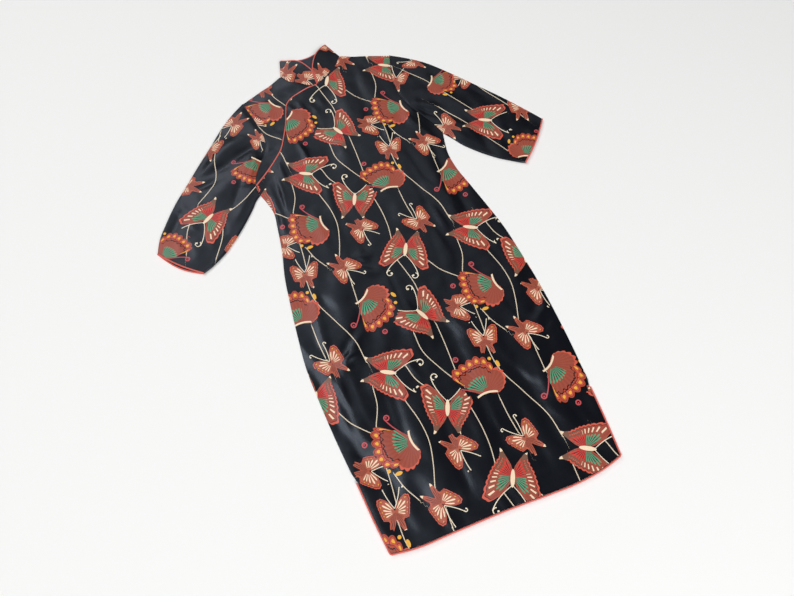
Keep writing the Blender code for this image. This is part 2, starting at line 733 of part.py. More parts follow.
def main():
    """Build every piece of the dress."""
    for old in list(bpy.data.objects):
        bpy.data.objects.remove(old, do_unlink=True)
    collection = bpy.data.collections.new("mandarin_collar_dress")
    bpy.context.scene.collection.children.link(collection)
    dress = bpy.data.objects.new("dress", None)
    collection.objects.link(dress)

    edges = plan_edges()
    add_back(edges, collection, dress)
    add_front(edges, collection, dress)
    add_underlap(edges, collection, dress)

    right_rings, right_way = sleeve_rings(
        RIGHT_SLEEVE_TOP, RIGHT_SLEEVE_UNDER, edges["right_armhole"], RIGHT_SLEEVE_FOLDS, 1.0, CUFF_GAPE
    )
    left_rings, left_way = sleeve_rings(
        LEFT_SLEEVE_TOP, LEFT_SLEEVE_UNDER, edges["left_armhole"], LEFT_SLEEVE_FOLDS, -1.0, 0.0
    )
    add_sleeve("right_sleeve", right_rings, 1.0, collection, dress)
    add_sleeve("left_sleeve", left_rings, -1.0, collection, dress)

    line = collar_line()
    add_collar(line, collection, dress)

    placket = smooth_rows(PLACKET, ACROSS_PLACKET)
    height = underlap_floor(placket[:, 0], placket[:, 1], edges) + WALL + 2 * GAP + PIPING / 2
    add_piping("placket_piping", np.column_stack([placket, height]), PIPING, collection, dress)
    add_piping("collar_piping", collar_piping_path(line), COLLAR_PIPING, collection, dress)
    add_piping("front_hem_piping", hem_piping_path(HIGH_PIPING), PIPING, collection, dress)
    add_piping("back_hem_piping", hem_piping_path(LOW_PIPING), PIPING, collection, dress)
    right_cuff = cuff_piping_path(right_rings[-1], right_way)
    left_cuff = cuff_piping_path(left_rings[-1], left_way)
    add_piping("right_cuff_piping", right_cuff, PIPING, collection, dress, cyclic=True)
    add_piping("left_cuff_piping", left_cuff, PIPING, collection, dress, cyclic=True)

    pieces = [piece for piece in collection.objects if piece.type != "EMPTY"]
    centre_on_floor(dress, pieces)


main()
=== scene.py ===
# %% [markdown]
# # A mandarin collar dress, laid out on a pale floor
# The dress is printed satin with coral piping. It lies face up: the back is flat on the floor, and
# the front, the sleeves and the stand collar lie on it in soft folds. This lesson makes each cut
# piece as a thin shell of cloth, then draws the print and the satin with shader nodes.

import json
import math

import bmesh
import bpy
import numpy as np
from mathutils import Matrix, Vector

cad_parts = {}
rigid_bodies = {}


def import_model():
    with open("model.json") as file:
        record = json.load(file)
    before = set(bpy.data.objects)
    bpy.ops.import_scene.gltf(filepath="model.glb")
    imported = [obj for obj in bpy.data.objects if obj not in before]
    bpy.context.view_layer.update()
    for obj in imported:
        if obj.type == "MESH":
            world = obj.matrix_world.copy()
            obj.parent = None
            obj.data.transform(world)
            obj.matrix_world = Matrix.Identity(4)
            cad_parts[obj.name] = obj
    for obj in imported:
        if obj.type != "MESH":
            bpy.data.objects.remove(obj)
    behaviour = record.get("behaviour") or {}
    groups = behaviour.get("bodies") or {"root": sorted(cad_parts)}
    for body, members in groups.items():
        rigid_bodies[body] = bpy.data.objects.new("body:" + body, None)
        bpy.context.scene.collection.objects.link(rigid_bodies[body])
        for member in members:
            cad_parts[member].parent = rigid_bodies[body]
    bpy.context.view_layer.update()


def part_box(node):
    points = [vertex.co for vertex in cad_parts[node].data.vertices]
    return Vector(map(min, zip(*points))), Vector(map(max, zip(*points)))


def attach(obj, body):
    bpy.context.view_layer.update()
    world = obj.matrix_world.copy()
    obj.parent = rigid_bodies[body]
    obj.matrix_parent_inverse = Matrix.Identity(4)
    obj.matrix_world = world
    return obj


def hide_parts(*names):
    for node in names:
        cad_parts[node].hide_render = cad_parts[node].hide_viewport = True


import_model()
FINE = 2

# %% [markdown]
# ## The cut
# A flat garment is best described from above. Each table below is an edge as a cutter would
# measure it, from the middle of the hem, with +X on the wearer's left. A few points are enough,
# because one smooth curve is drawn through them. The same edge is then used by every piece that
# is sewn to it, so seams meet everywhere.

# %% Sizes of the cloth
CLOTH = 0.0007
PLY = 0.0007
PIPING = 0.003
COLLAR_PIPING = 0.0024
GAP = 0.0003
SLIT = 0.13
SLIT_TAPER = 0.016

# %% Heights of the layers over the floor, and how far each rise is felt
BACK_TOP = 0.0012
FRONT_FLOOR = 0.0015
LOW_PIPING = 0.0018
HIGH_PIPING = 0.0051
HEM_LIFT = 0.003
PLACKET_LIFT = 0.0024
NECK_LIFT = 0.0034
NECK_HEIGHT = 0.0055
SLEEVE_RISE = 0.0033
CUFF_RISE = 0.0063
AIR_UNDER_FRONT = 0.0016
DEEPEST_CREASE = 0.0002
EDGE_TUCK = 0.0004
LIFT_REACH = 0.035
PLACKET_REACH = 0.05
AIR_REACH = 0.06
HELD_REACH = 0.018
TUCK_REACH = 0.006

# %% Side seams. Columns: height above the hem, right edge x, left edge x
SIDES = [
    (0.0, -0.2175, 0.2175), (0.06, -0.2245, 0.2235), (0.13, -0.2305, 0.229), (0.2, -0.2378, 0.235),
    (0.28, -0.2435, 0.2385), (0.36, -0.2467, 0.239), (0.43, -0.242, 0.236), (0.5, -0.2349, 0.2311),
    (0.56, -0.2275, 0.2215), (0.62, -0.215, 0.2105), (0.68, -0.207, 0.2), (0.715, -0.2035, 0.1995),
    (0.745, -0.2095, 0.205), (0.7715, -0.218, 0.2115),
]

# %% Hem. Columns: x, y
HEM = [
    (-0.2175, 0.0), (-0.175, -0.0062), (-0.105, -0.0072), (0.0, -0.0086), (0.07, -0.012),
    (0.12, -0.0136), (0.175, -0.0094), (0.2175, 0.0),
]

# %% Armholes from the shoulder to the underarm. Columns: x, y
RIGHT_ARMHOLE = [
    (-0.185, 1.03), (-0.178, 1.0), (-0.1705, 0.96), (-0.1665, 0.925), (-0.168, 0.9),
    (-0.177, 0.877), (-0.193, 0.852), (-0.211, 0.824), (-0.2205, 0.7965), (-0.218, 0.7715),
]
LEFT_ARMHOLE = [
    (0.185, 1.035), (0.1745, 1.0), (0.165, 0.962), (0.1605, 0.928), (0.164, 0.898), (0.173, 0.868),
    (0.186, 0.837), (0.201, 0.805), (0.2115, 0.7715),
]
RIGHT_NECK_POINT = (-0.083, 1.0702)
LEFT_NECK_POINT = (0.0768, 1.0762)

# %% Placket and the hidden edge below it, from the underarm to the centre front. Columns: x, y
PLACKET = [
    (-0.2188, 0.796), (-0.19, 0.819), (-0.157, 0.85), (-0.141, 0.868), (-0.123, 0.902),
    (-0.1065, 0.94), (-0.098, 0.966), (-0.09, 0.987), (-0.078, 0.9985), (-0.06, 1.0065),
    (-0.035, 1.012), (-0.0065, 1.014),
]
UNDERLAP_EDGE = [
    (-0.2085, 0.781), (-0.177, 0.806), (-0.145, 0.837), (-0.127, 0.859), (-0.107, 0.896),
    (-0.09, 0.933), (-0.074, 0.964), (-0.054, 0.985), (-0.03, 0.994), (-0.0064, 0.996),
]

# %% Collar. Columns: base x, y, z, top x, y, z
RIGHT_COLLAR = [
    (-0.0064, 1.0178, NECK_HEIGHT, -0.0064, 1.059, 0.0125),
    (-0.026, 1.0225, NECK_HEIGHT, -0.0205, 1.086, 0.014),
    (-0.044, 1.0385, NECK_HEIGHT, -0.034, 1.1, 0.013),
    (-0.064, 1.051, NECK_HEIGHT, -0.05, 1.1075, 0.011),
    (-0.0765, 1.0712, NECK_HEIGHT, -0.0635, 1.116, 0.0085),
]
LEFT_COLLAR = [
    (-0.0006, 1.0178, NECK_HEIGHT, -0.0006, 1.059, 0.0125),
    (0.015, 1.0245, NECK_HEIGHT, 0.0085, 1.079, 0.014),
    (0.032, 1.0385, NECK_HEIGHT, 0.021, 1.0985, 0.014),
    (0.053, 1.0535, NECK_HEIGHT, 0.036, 1.113, 0.012),
    (0.071, 1.0772, NECK_HEIGHT, 0.051, 1.123, 0.0085),
]
BACK_COLLAR = [
    (-0.0765, 1.0712, 0.0015, -0.0635, 1.115, 0.0023),
    (-0.04, 1.0625, 0.0015, -0.037, 1.109, 0.0023),
    (-0.002, 1.0605, 0.0015, -0.005, 1.1055, 0.0023),
    (0.038, 1.065, 0.0015, 0.025, 1.1115, 0.0023),
    (0.071, 1.0772, 0.0015, 0.051, 1.121, 0.0023),
]

# %% Sleeves from the armhole to the cuff: folded upper edge, then underarm seam. Columns: x, y
RIGHT_SLEEVE_TOP = [
    (-0.185, 1.03), (-0.22, 1.0062), (-0.25, 0.979), (-0.2848, 0.94), (-0.3228, 0.899),
    (-0.3575, 0.86), (-0.3933, 0.82), (-0.4226, 0.78), (-0.447, 0.74), (-0.456, 0.714),
]
RIGHT_SLEEVE_UNDER = [
    (-0.218, 0.7715), (-0.229, 0.761), (-0.24, 0.7459), (-0.26, 0.7219), (-0.28, 0.7),
    (-0.3, 0.6807), (-0.32, 0.6633), (-0.34, 0.65), (-0.36, 0.639), (-0.376, 0.6325),
]
LEFT_SLEEVE_TOP = [
    (0.185, 1.035), (0.22, 1.0113), (0.2562, 0.979), (0.287, 0.94), (0.3155, 0.9), (0.343, 0.86),
    (0.3705, 0.82), (0.396, 0.78), (0.42, 0.74), (0.432, 0.719),
]
LEFT_SLEEVE_UNDER = [
    (0.2115, 0.7715), (0.224, 0.75), (0.24, 0.7217), (0.26, 0.6962), (0.28, 0.6744), (0.3, 0.656),
    (0.32, 0.641), (0.338, 0.628), (0.3425, 0.6255),
]


# %% [markdown]
# ## Curves, fades and seams
# These helpers do the pattern cutter's work. A smooth curve passes through each table and is cut
# into equal steps. An edge can be moved sideways for a seam's gap. A fade says how strongly a rise
# is felt some way from the edge that causes it.

# %% Curves through tables
def smooth_rows(rows, steps):
    """Points at equal steps along one smooth curve through the rows of a table."""
    rows = np.array(rows, float)
    along = way_along(rows)
    slope = np.gradient(rows, along, axis=0)
    fine = np.linspace(0.0, along[-1], 30 * len(rows))
    cell = np.clip(np.searchsorted(along, fine, side="right") - 1, 0, len(rows) - 2)
    span = (along[cell + 1] - along[cell])[:, None]
    t = (fine - along[cell])[:, None] / span
    curve = (
        (2 * t**3 - 3 * t**2 + 1) * rows[cell]
        + (t**3 - 2 * t**2 + t) * span * slope[cell]
        + (3 * t**2 - 2 * t**3) * rows[cell + 1]
        + (t**3 - t**2) * span * slope[cell + 1]
    )
    return even_steps(curve, steps)


def way_along(path):
    """Length of the path from its start to each of its points."""
    return np.concatenate([[0.0], np.cumsum(np.linalg.norm(np.diff(path, axis=0), axis=1))])


def even_steps(path, steps):
    """The same path in equal steps."""
    length = way_along(path)
    even = np.linspace(0.0, length[-1], steps + 1)
    return np.column_stack([np.interp(even, length, column) for column in path.T])


def millimetres(path):
    """Length of a path, rounded for a note."""
    return round(1000 * way_along(path)[-1])


def chain(*paths):
    """Paths that meet end to end, joined into one."""
    return np.vstack([paths[0]] + [path[1:] for path in paths[1:]])


def offset(path, distance):
    """The path moved sideways in plan, to the left of its direction of travel."""
    direction = np.gradient(path[:, :2], axis=0)
    direction /= np.linalg.norm(direction, axis=1)[:, None]
    moved = path.copy()
    moved[:, 0] -= direction[:, 1] * distance
    moved[:, 1] += direction[:, 0] * distance
    return moved


# %% Distances and fades
def distance_to(path, x, y):
    """Distance in plan from each point to the nearest point of a path."""
    nearest = np.full(np.shape(x), np.inf)
    for start, end in zip(path[:-1, :2], path[1:, :2]):
        run = end - start
        t = np.clip(((x - start[0]) * run[0] + (y - start[1]) * run[1]) / (run @ run), 0, 1)
        away = np.hypot(x - start[0] - t * run[0], y - start[1] - t * run[1])
        nearest = np.minimum(nearest, away)
    return nearest


def fade(distance, reach):
    """1 at no distance, 0 past the reach, with a soft start and end."""
    t = np.clip(1.0 - distance / reach, 0.0, 1.0)
    return t * t * (3.0 - 2.0 * t)


def coons(bottom, top, left, right):
    """Grid of plan points that fills four border paths."""
    u = np.linspace(0.0, 1.0, len(bottom))[None, :, None]
    v = np.linspace(0.0, 1.0, len(left))[:, None, None]
    corners = (
        (1 - u) * (1 - v) * bottom[0]
        + u * (1 - v) * bottom[-1]
        + (1 - u) * v * top[0]
        + u * v * top[-1]
    )
    rows = (1 - v) * bottom[None] + v * top[None]
    columns = (1 - u) * left[:, None] + u * right[:, None]
    return rows + columns - corners


# %% Seam lines, each worked out once
TABLE_STEPS = 200
SIDE_STEPS = 82 * FINE
ARMHOLE_STEPS = 28 * FINE
NECK_STEPS = 12 * FINE
PLACKET_STEPS = 60 * FINE
HEM_STEPS = 120


def side_path(side, heights, inset):
    """Side edge at the given heights: side is 1 for the right edge's column, 2 for the left."""
    table = smooth_rows(SIDES, TABLE_STEPS)
    x = np.interp(heights, table[:, 0], table[:, side])
    return np.column_stack([x + (inset if side == 1 else -inset), heights])


def panel_side(side):
    """Side edge of the front and back, from the hem to the underarm."""
    heights = np.linspace(PIPING + GAP, SIDES[-1][0], SIDE_STEPS + 1)
    inset = (PIPING + GAP) * np.clip((SLIT + SLIT_TAPER - heights) / SLIT_TAPER, 0, 1)
    return side_path(side, heights, inset)


right_armhole = smooth_rows(RIGHT_ARMHOLE, ARMHOLE_STEPS)
left_armhole = smooth_rows(LEFT_ARMHOLE, ARMHOLE_STEPS)
neck_right = offset(smooth_rows(RIGHT_COLLAR, NECK_STEPS)[:, :2], GAP)
neck_left = offset(smooth_rows(LEFT_COLLAR, NECK_STEPS)[:, :2], -GAP)
neck_back = offset(smooth_rows(BACK_COLLAR, NECK_STEPS)[:, :2], -GAP)
placket_line = smooth_rows(PLACKET, PLACKET_STEPS)
placket_edge = offset(placket_line, -(PIPING / 2 + GAP))
right_side = panel_side(1)
left_side = panel_side(2)
hem_curve = smooth_rows(HEM, HEM_STEPS)
slit_rows = right_side[:, 1] < SLIT + SLIT_TAPER
outline = np.vstack([chain(right_armhole, right_side[::-1]), chain(left_side, left_armhole[::-1])])
neck_line = np.vstack([neck_right[::-1], neck_left])
hem_line = np.column_stack([hem_curve[:, 0], hem_curve[:, 1] + PIPING + GAP])
slit_line = np.vstack([right_side[slit_rows][::-1], hem_line, left_side[slit_rows]])
print("armhole lengths, mm:", millimetres(right_armhole), millimetres(left_armhole))

# %% The plans are drawn from the hem, and the frame's origin is under the middle of the box
front_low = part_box("front")[0]
HOME = Vector((front_low[0] - right_side[:, 0].min(), front_low[1] - hem_line[:, 1].min(), 0.0))
print("from the hem's middle to the origin, m:", [round(v, 4) for v in HOME])

# %% [markdown]
# ## Folds
# Satin that is smoothed out by hand keeps long soft ridges and a few sharp creases. Each row is one
# of them. A ridge is a bell curve across its line that dies away at both ends.
# Uneven lengths and depths keep the cloth from looking ruled.

# %% Folds of the body. Columns: start x, y, end x, y, half width, height (a trough is below 0)
BODY_FOLDS = [
    (-0.134, 0.54, -0.156, 0.33, 0.024, 0.0052),
    (-0.182, 0.525, -0.202, 0.37, 0.01, 0.0034),
    (-0.032, 0.56, -0.035, 0.19, 0.017, 0.0026),
    (0.114, 0.78, 0.112, 0.44, 0.01, -0.0014),
    (-0.085, 0.77, -0.084, 0.58, 0.01, -0.0014),
    (0.158, 0.33, 0.156, 0.01, 0.02, 0.0034),
    (0.126, 0.3, 0.135, 0.01, 0.012, -0.0014),
    (0.07, 0.47, 0.082, 0.12, 0.03, 0.002),
    (-0.082, 0.24, -0.09, 0.0, 0.03, 0.0028),
    (-0.172, 0.81, -0.176, 0.65, 0.01, 0.003),
    (0.145, 0.76, 0.15, 0.5, 0.018, 0.0026),
    (-0.228, 0.27, -0.19, 0.17, 0.014, 0.0026),
    (0.21, 0.31, 0.18, 0.23, 0.013, 0.0022),
]

# %% Smaller creases of the body. Columns as above
BODY_CREASES = [
    (-0.115, 0.42, -0.202, 0.33, 0.009, -0.0019),
    (-0.12, 0.395, -0.195, 0.315, 0.009, 0.0019),
    (-0.028, 0.56, -0.03, 0.36, 0.005, -0.0018),
    (-0.01, 0.48, -0.014, 0.27, 0.014, 0.0016),
    (-0.048, 0.19, -0.056, 0.0, 0.009, -0.0022),
    (0.006, 0.2, 0.01, 0.01, 0.016, 0.0019),
    (-0.09, 0.545, -0.045, 0.508, 0.007, -0.0019),
    (-0.088, 0.525, -0.04, 0.495, 0.009, 0.0018),
    (0.24, 0.288, 0.19, 0.256, 0.005, -0.0018),
    (0.238, 0.334, 0.19, 0.296, 0.007, -0.0016),
    (0.235, 0.312, 0.195, 0.28, 0.006, 0.0019),
    (-0.238, 0.195, -0.2, 0.16, 0.006, -0.0019),
    (-0.201, 0.31, -0.199, 0.19, 0.007, -0.0019),
    (-0.195, 0.795, -0.202, 0.645, 0.009, 0.0046),
    (-0.169, 0.805, -0.177, 0.7, 0.005, 0.0022),
    (-0.156, 0.84, -0.154, 0.775, 0.006, 0.0028),
    (-0.099, 0.875, -0.093, 0.795, 0.007, 0.003),
    (-0.08, 0.745, -0.085, 0.64, 0.009, 0.0032),
    (-0.195, 0.348, -0.14, 0.352, 0.008, 0.0028),
    (-0.196, 0.325, -0.197, 0.255, 0.007, 0.0026),
    (-0.088, 0.552, -0.042, 0.54, 0.01, 0.0024),
    (-0.072, 0.332, -0.05, 0.256, 0.009, 0.0026),
    (0.15, 0.875, 0.176, 0.78, 0.009, 0.0044),
    (0.109, 0.615, 0.12, 0.525, 0.009, 0.0032),
    (0.097, 0.85, 0.091, 0.785, 0.007, 0.0024),
    (-0.09, 0.984, -0.077, 0.946, 0.006, 0.002),
    (-0.064, 0.987, -0.056, 0.944, 0.006, 0.0018),
    (-0.044, 0.978, -0.03, 0.93, 0.007, 0.0022),
    (-0.015, 0.992, -0.008, 0.936, 0.008, 0.0018),
    (-0.045, 0.99, -0.038, 0.88, 0.013, -0.0019),
    (0.03, 0.995, 0.045, 0.82, 0.022, 0.0022),
    (0.1, 1.03, 0.11, 0.87, 0.016, 0.0021),
    (-0.01, 0.89, -0.02, 0.74, 0.016, 0.0019),
    (0.145, 0.96, 0.135, 0.83, 0.009, -0.0016),
    (0.193, 0.77, 0.174, 0.69, 0.006, -0.0019),
    (0.18, 0.79, 0.16, 0.7, 0.009, 0.0019),
    (0.185, 0.64, 0.175, 0.53, 0.011, -0.0019),
    (0.04, 0.72, 0.05, 0.54, 0.014, 0.0018),
    (0.085, 0.56, 0.07, 0.39, 0.009, -0.0014),
    (0.025, 0.38, 0.035, 0.21, 0.011, -0.0013),
    (0.205, 0.45, 0.195, 0.34, 0.013, 0.0019),
    (-0.11, 0.3, -0.122, 0.14, 0.009, -0.0016),
    (-0.15, 0.23, -0.148, 0.05, 0.013, 0.0019),
    (-0.175, 0.12, -0.17, 0.0, 0.009, -0.0016),
    (0.09, 0.17, 0.098, 0.0, 0.011, -0.0014),
    (0.195, 0.16, 0.19, 0.02, 0.011, 0.0018),
    (-0.13, 0.7, -0.125, 0.57, 0.011, 0.0019),
]

# %% Folds of the underlap, where it shows. Columns as above
UNDERLAP_FOLDS = [
    (-0.132, 1.02, -0.138, 0.935, 0.01, 0.0019),
    (-0.156, 1.025, -0.162, 0.95, 0.014, 0.0015),
    (-0.174, 0.935, -0.166, 0.875, 0.008, 0.003),
]

# %% Folds of the sleeves. Columns as above
RIGHT_SLEEVE_FOLDS = [
    (-0.21, 0.945, -0.335, 0.85, 0.018, 0.0032),
    (-0.244, 0.802, -0.19, 0.886, 0.012, 0.0054),
    (-0.406, 0.74, -0.413, 0.685, 0.009, 0.002),
    (-0.19, 0.93, -0.3, 0.91, 0.02, 0.0026),
    (-0.2, 0.87, -0.33, 0.79, 0.022, 0.0026),
    (-0.22, 0.81, -0.29, 0.71, 0.014, 0.002),
    (-0.33, 0.81, -0.4, 0.72, 0.018, 0.0018),
    (-0.185, 0.905, -0.26, 0.878, 0.009, -0.0026),
    (-0.245, 0.88, -0.335, 0.862, 0.01, -0.002),
    (-0.36, 0.835, -0.29, 0.845, 0.008, -0.0018),
    (-0.375, 0.805, -0.435, 0.725, 0.01, -0.0014),
    (-0.402, 0.74, -0.392, 0.67, 0.009, -0.0018),
    (-0.245, 0.825, -0.28, 0.76, 0.008, -0.0016),
    (-0.23, 0.99, -0.27, 0.93, 0.014, 0.0012),
    (-0.35, 0.75, -0.34, 0.675, 0.012, 0.0012),
    (-0.305, 0.75, -0.31, 0.7, 0.007, -0.0012),
]
LEFT_SLEEVE_FOLDS = [
    (0.185, 1.0, 0.206, 0.94, 0.01, 0.0024),
    (0.18, 0.88, 0.245, 0.83, 0.012, 0.0026),
    (0.21, 0.93, 0.29, 0.8, 0.02, 0.0024),
    (0.215, 0.82, 0.26, 0.7, 0.012, 0.002),
    (0.3, 0.83, 0.38, 0.7, 0.02, 0.0018),
    (0.164, 0.885, 0.182, 0.82, 0.009, -0.003),
    (0.19, 0.82, 0.208, 0.73, 0.008, -0.0024),
    (0.175, 0.87, 0.235, 0.805, 0.007, -0.0016),
    (0.225, 0.835, 0.275, 0.765, 0.008, -0.0016),
    (0.19, 0.99, 0.208, 0.955, 0.008, -0.0018),
    (0.22, 0.995, 0.245, 0.9, 0.014, 0.0012),
    (0.405, 0.75, 0.39, 0.7, 0.009, -0.0014),
    (0.3, 0.9, 0.35, 0.82, 0.01, -0.001),
    (0.27, 0.76, 0.315, 0.69, 0.009, -0.0012),
    (0.33, 0.75, 0.36, 0.67, 0.01, 0.0012),
]


# %% What the folds add to a height. Each bows to a side of its own
BOW = 0.12
SLOW_RIPPLE = 0.00045
QUICK_RIPPLE = 0.0002


def fold_height(table, x, y):
    """Height that soft, slightly bowed folds add at each point."""
    total = np.zeros_like(x)
    for start_x, start_y, end_x, end_y, half_width, height in table:
        run_x, run_y = end_x - start_x, end_y - start_y
        length = math.hypot(run_x, run_y)
        along = ((x - start_x) * run_x + (y - start_y) * run_y) / length**2
        across = ((x - start_x) * run_y - (y - start_y) * run_x) / length
        bow = BOW * length * math.sin(57 * start_x + 31 * start_y)
        across = across + bow * along * (1 - along)
        ends = np.clip(4.0 * along * (1.0 - along), 0.0, 1.0)
        total += height * ends * np.exp(-((across / half_width) ** 2))
    return total


def ripple(x, y):
    """Faint unevenness of soft cloth, a fraction of a millimetre high."""
    slow = np.sin(41 * x + 9 * y + 1.3 * np.sin(13 * y)) * np.sin(17 * y - 11 * x + 0.7)
    quick = np.sin(97 * x - 23 * y + 2.1 * np.sin(21 * x + 8 * y)) * np.sin(53 * y + 31 * x)
    return SLOW_RIPPLE * slow + QUICK_RIPPLE * quick


# %% [markdown]
# ## The print
# The cloth is printed with butterflies: large open ones, small open ones, and large ones seen from
# the side. Thin twisted cords run down between them. The design repeats in a half drop: each
# column starts about half a repeat below the last. A texture could hold it, but here every face of
# the cloth is told which butterfly lies over it, and where. That place is stored as a UV map, in
# wing lengths from the butterfly's body, so the material only has to draw one butterfly of each
# kind, as sharp as the view needs.

# %% Butterflies of one repeat. Columns: x, y, heading in degrees, wing length, kind, flip
BIG, SMALL, SIDE_ON, ONE_WING = 0, 1, 2, 3
REPEAT_DOWN = (0.003, -0.489)
REPEAT_ACROSS = (0.275, -0.262)
BUTTERFLIES = [
    (-0.111, 0.786, -29, 0.064, BIG, 1),
    (-0.034, 0.679, 66, 0.064, BIG, 1),
    (0.023, 0.528, 242, 0.064, BIG, 1),
    (-0.004, 0.866, 116, 0.064, BIG, 1),
    (-0.1165, 0.648, 180, 0.067, SIDE_ON, 1),
    (-0.0975, 0.947, -63, 0.067, SIDE_ON, 1),
    (0.047, 0.68, 92, 0.067, SIDE_ON, -1),
    (0.085, 0.779, 80, 0.037, SMALL, 1),
    (0.067, 0.857, -27, 0.037, SMALL, 1),
    (0.164, 0.759, -60, 0.037, SMALL, 1),
    (-0.044, 0.606, -62, 0.037, SMALL, 1),
    (0.073, 0.581, 115, 0.037, SMALL, 1),
]

# %% Cords of one repeat, as points x, y from top to bottom
CORDS = [
    [(-0.146, 0.767), (-0.15, 0.735), (-0.165, 0.7)],
    [(-0.1, 0.725), (-0.0885, 0.67), (-0.0875, 0.64), (-0.096, 0.6), (-0.108, 0.565)],
    [(-0.035, 0.838), (-0.034, 0.8), (-0.0167, 0.758), (0.008, 0.7125)],
    [(0.0125, 0.838), (0.012, 0.8), (0.009, 0.74)],
    [(0.083, 0.765), (0.084, 0.721), (0.108, 0.658), (0.131, 0.6), (0.135, 0.56)],
    [(0.167, 0.745), (0.165, 0.715), (0.1625, 0.679)],
    [(0.006, 0.672), (0.01, 0.625), (0.009, 0.59), (0.004, 0.558)],
    [(-0.175, 0.625), (-0.177, 0.595), (-0.181, 0.558)],
    [(-0.165, 0.605), (-0.158, 0.582), (-0.144, 0.556)],
    [(-0.004, 0.515), (0.004, 0.48), (0.01, 0.446), (0.01, 0.42)],
    [(0.056, 0.482), (0.068, 0.46), (0.083, 0.442), (0.1, 0.425)],
    [(-0.073, 0.78), (-0.067, 0.755), (-0.05, 0.725)],
    [(0.0625, 0.662), (0.063, 0.63), (0.066, 0.595)],
]

# %% The sleeves, the underlap and the collar are cut across the repeat, so theirs are placed singly
RIGHT_SLEEVE_PRINT = [
    (-0.335, 0.755, 212, 0.064, BIG, 1),
    (-0.195, 0.858, 226, 0.06, SIDE_ON, 1),
    (-0.222, 0.98, 205, 0.037, SMALL, 1),
    (-0.288, 0.935, 60, 0.037, SMALL, 1),
    (-0.36, 0.856, 150, 0.037, SMALL, 1),
    (-0.178, 0.915, 290, 0.03, SMALL, 1),
    (-0.452, 0.7, 40, 0.06, SIDE_ON, 1),
    (-0.3, 0.655, 30, 0.04, SMALL, 1),
]
LEFT_SLEEVE_PRINT = [
    (0.245, 0.918, 330, 0.06, SIDE_ON, -1),
    (0.172, 0.96, 60, 0.037, SMALL, 1),
    (0.318, 0.9, 200, 0.037, SMALL, 1),
    (0.222, 0.785, 120, 0.04, SMALL, 1),
    (0.31, 0.765, 330, 0.064, BIG, 1),
    (0.35, 0.64, 62, 0.058, SIDE_ON, 1),
    (0.402, 0.765, 70, 0.037, SMALL, 1),
    (0.232, 0.995, 140, 0.034, SMALL, 1),
]
UNDERLAP_PRINT = [
    (-0.118, 1.0, 205, 0.064, SIDE_ON, 1),
    (-0.178, 0.965, 300, 0.04, SMALL, 1),
    (-0.13, 1.062, 100, 0.036, SMALL, 1),
]
COLLAR_PRINT = [
    (-0.068, 1.072, 222, 0.038, SMALL, 1),
    (-0.026, 1.038, 322, 0.034, SMALL, 1),
    (0.014, 1.038, 285, 0.032, SMALL, 1),
    (0.054, 1.122, 130, 0.03, SMALL, 1),
]
RIGHT_SLEEVE_CORDS = [
    [(-0.255, 0.968), (-0.285, 0.9), (-0.3, 0.84), (-0.345, 0.8)],
    [(-0.215, 0.8), (-0.255, 0.77), (-0.3, 0.752)],
    [(-0.352, 0.79), (-0.385, 0.74), (-0.4, 0.69)],
    [(-0.31, 0.735), (-0.32, 0.7), (-0.345, 0.655)],
]
LEFT_SLEEVE_CORDS = [
    [(0.2, 0.975), (0.235, 0.925), (0.262, 0.87), (0.3, 0.8)],
    [(0.33, 0.89), (0.345, 0.85), (0.375, 0.79), (0.395, 0.74)],
    [(0.23, 0.84), (0.262, 0.79), (0.285, 0.745), (0.32, 0.67)],
]
UNDERLAP_CORDS = [
    [(-0.118, 1.062), (-0.112, 1.025), (-0.095, 0.99)],
    [(-0.17, 0.955), (-0.158, 0.925), (-0.135, 0.9)],
]
COLLAR_CORDS = [[(-0.078, 1.078), (-0.066, 1.092), (-0.05, 1.1)]]


# %% Repeat the design over the whole body
PRINT_SIDE = 0.32
PRINT_BOTTOM = -0.1
PRINT_TOP = 1.2


def repeated(rows, point_of, moved):
    """Every copy of the rows that lies within reach of the dress."""
    copies = []
    for across in range(-2, 4):
        for down in range(-3, 5):
            shift = across * np.array(REPEAT_ACROSS) + down * np.array(REPEAT_DOWN)
            for row in rows:
                place = np.array(point_of(row)) + shift
                if abs(place[0]) < PRINT_SIDE and PRINT_BOTTOM < place[1] < PRINT_TOP:
                    copies.append(moved(row, shift))
    return copies


BODY_PRINT = repeated(
    BUTTERFLIES,
    lambda row: row[:2],
    lambda row, shift: (row[0] + shift[0], row[1] + shift[1], *row[2:]),
)
BODY_CORDS = repeated(
    CORDS,
    lambda cord: cord[len(cord) // 2],
    lambda cord, shift: [(x + shift[0], y + shift[1]) for x, y in cord],
)
print("butterflies on the body:", len(BODY_PRINT), "cords:", len(BODY_CORDS))

# %% The collar's seam cuts one butterfly of the front in half, and the side seam shows one more
NECK_BUTTERFLY = (0.02, 1.017)
SAME_PLACE = 0.01
SIDE_SEAM_BUTTERFLY = (-0.228, 0.753, 254, 0.048, BIG, 1)
FRONT_PRINT = [SIDE_SEAM_BUTTERFLY]
for row in BODY_PRINT:
    halved = math.dist(row[:2], NECK_BUTTERFLY) < SAME_PLACE
    FRONT_PRINT.append((*row[:4], ONE_WING, row[5]) if halved else row)


# %% Tell each face its butterfly. One seen from the side has its middle ahead of its body
SIDE_ON_MIDDLE = 0.45
SIDE_ON_SIZE = 0.85


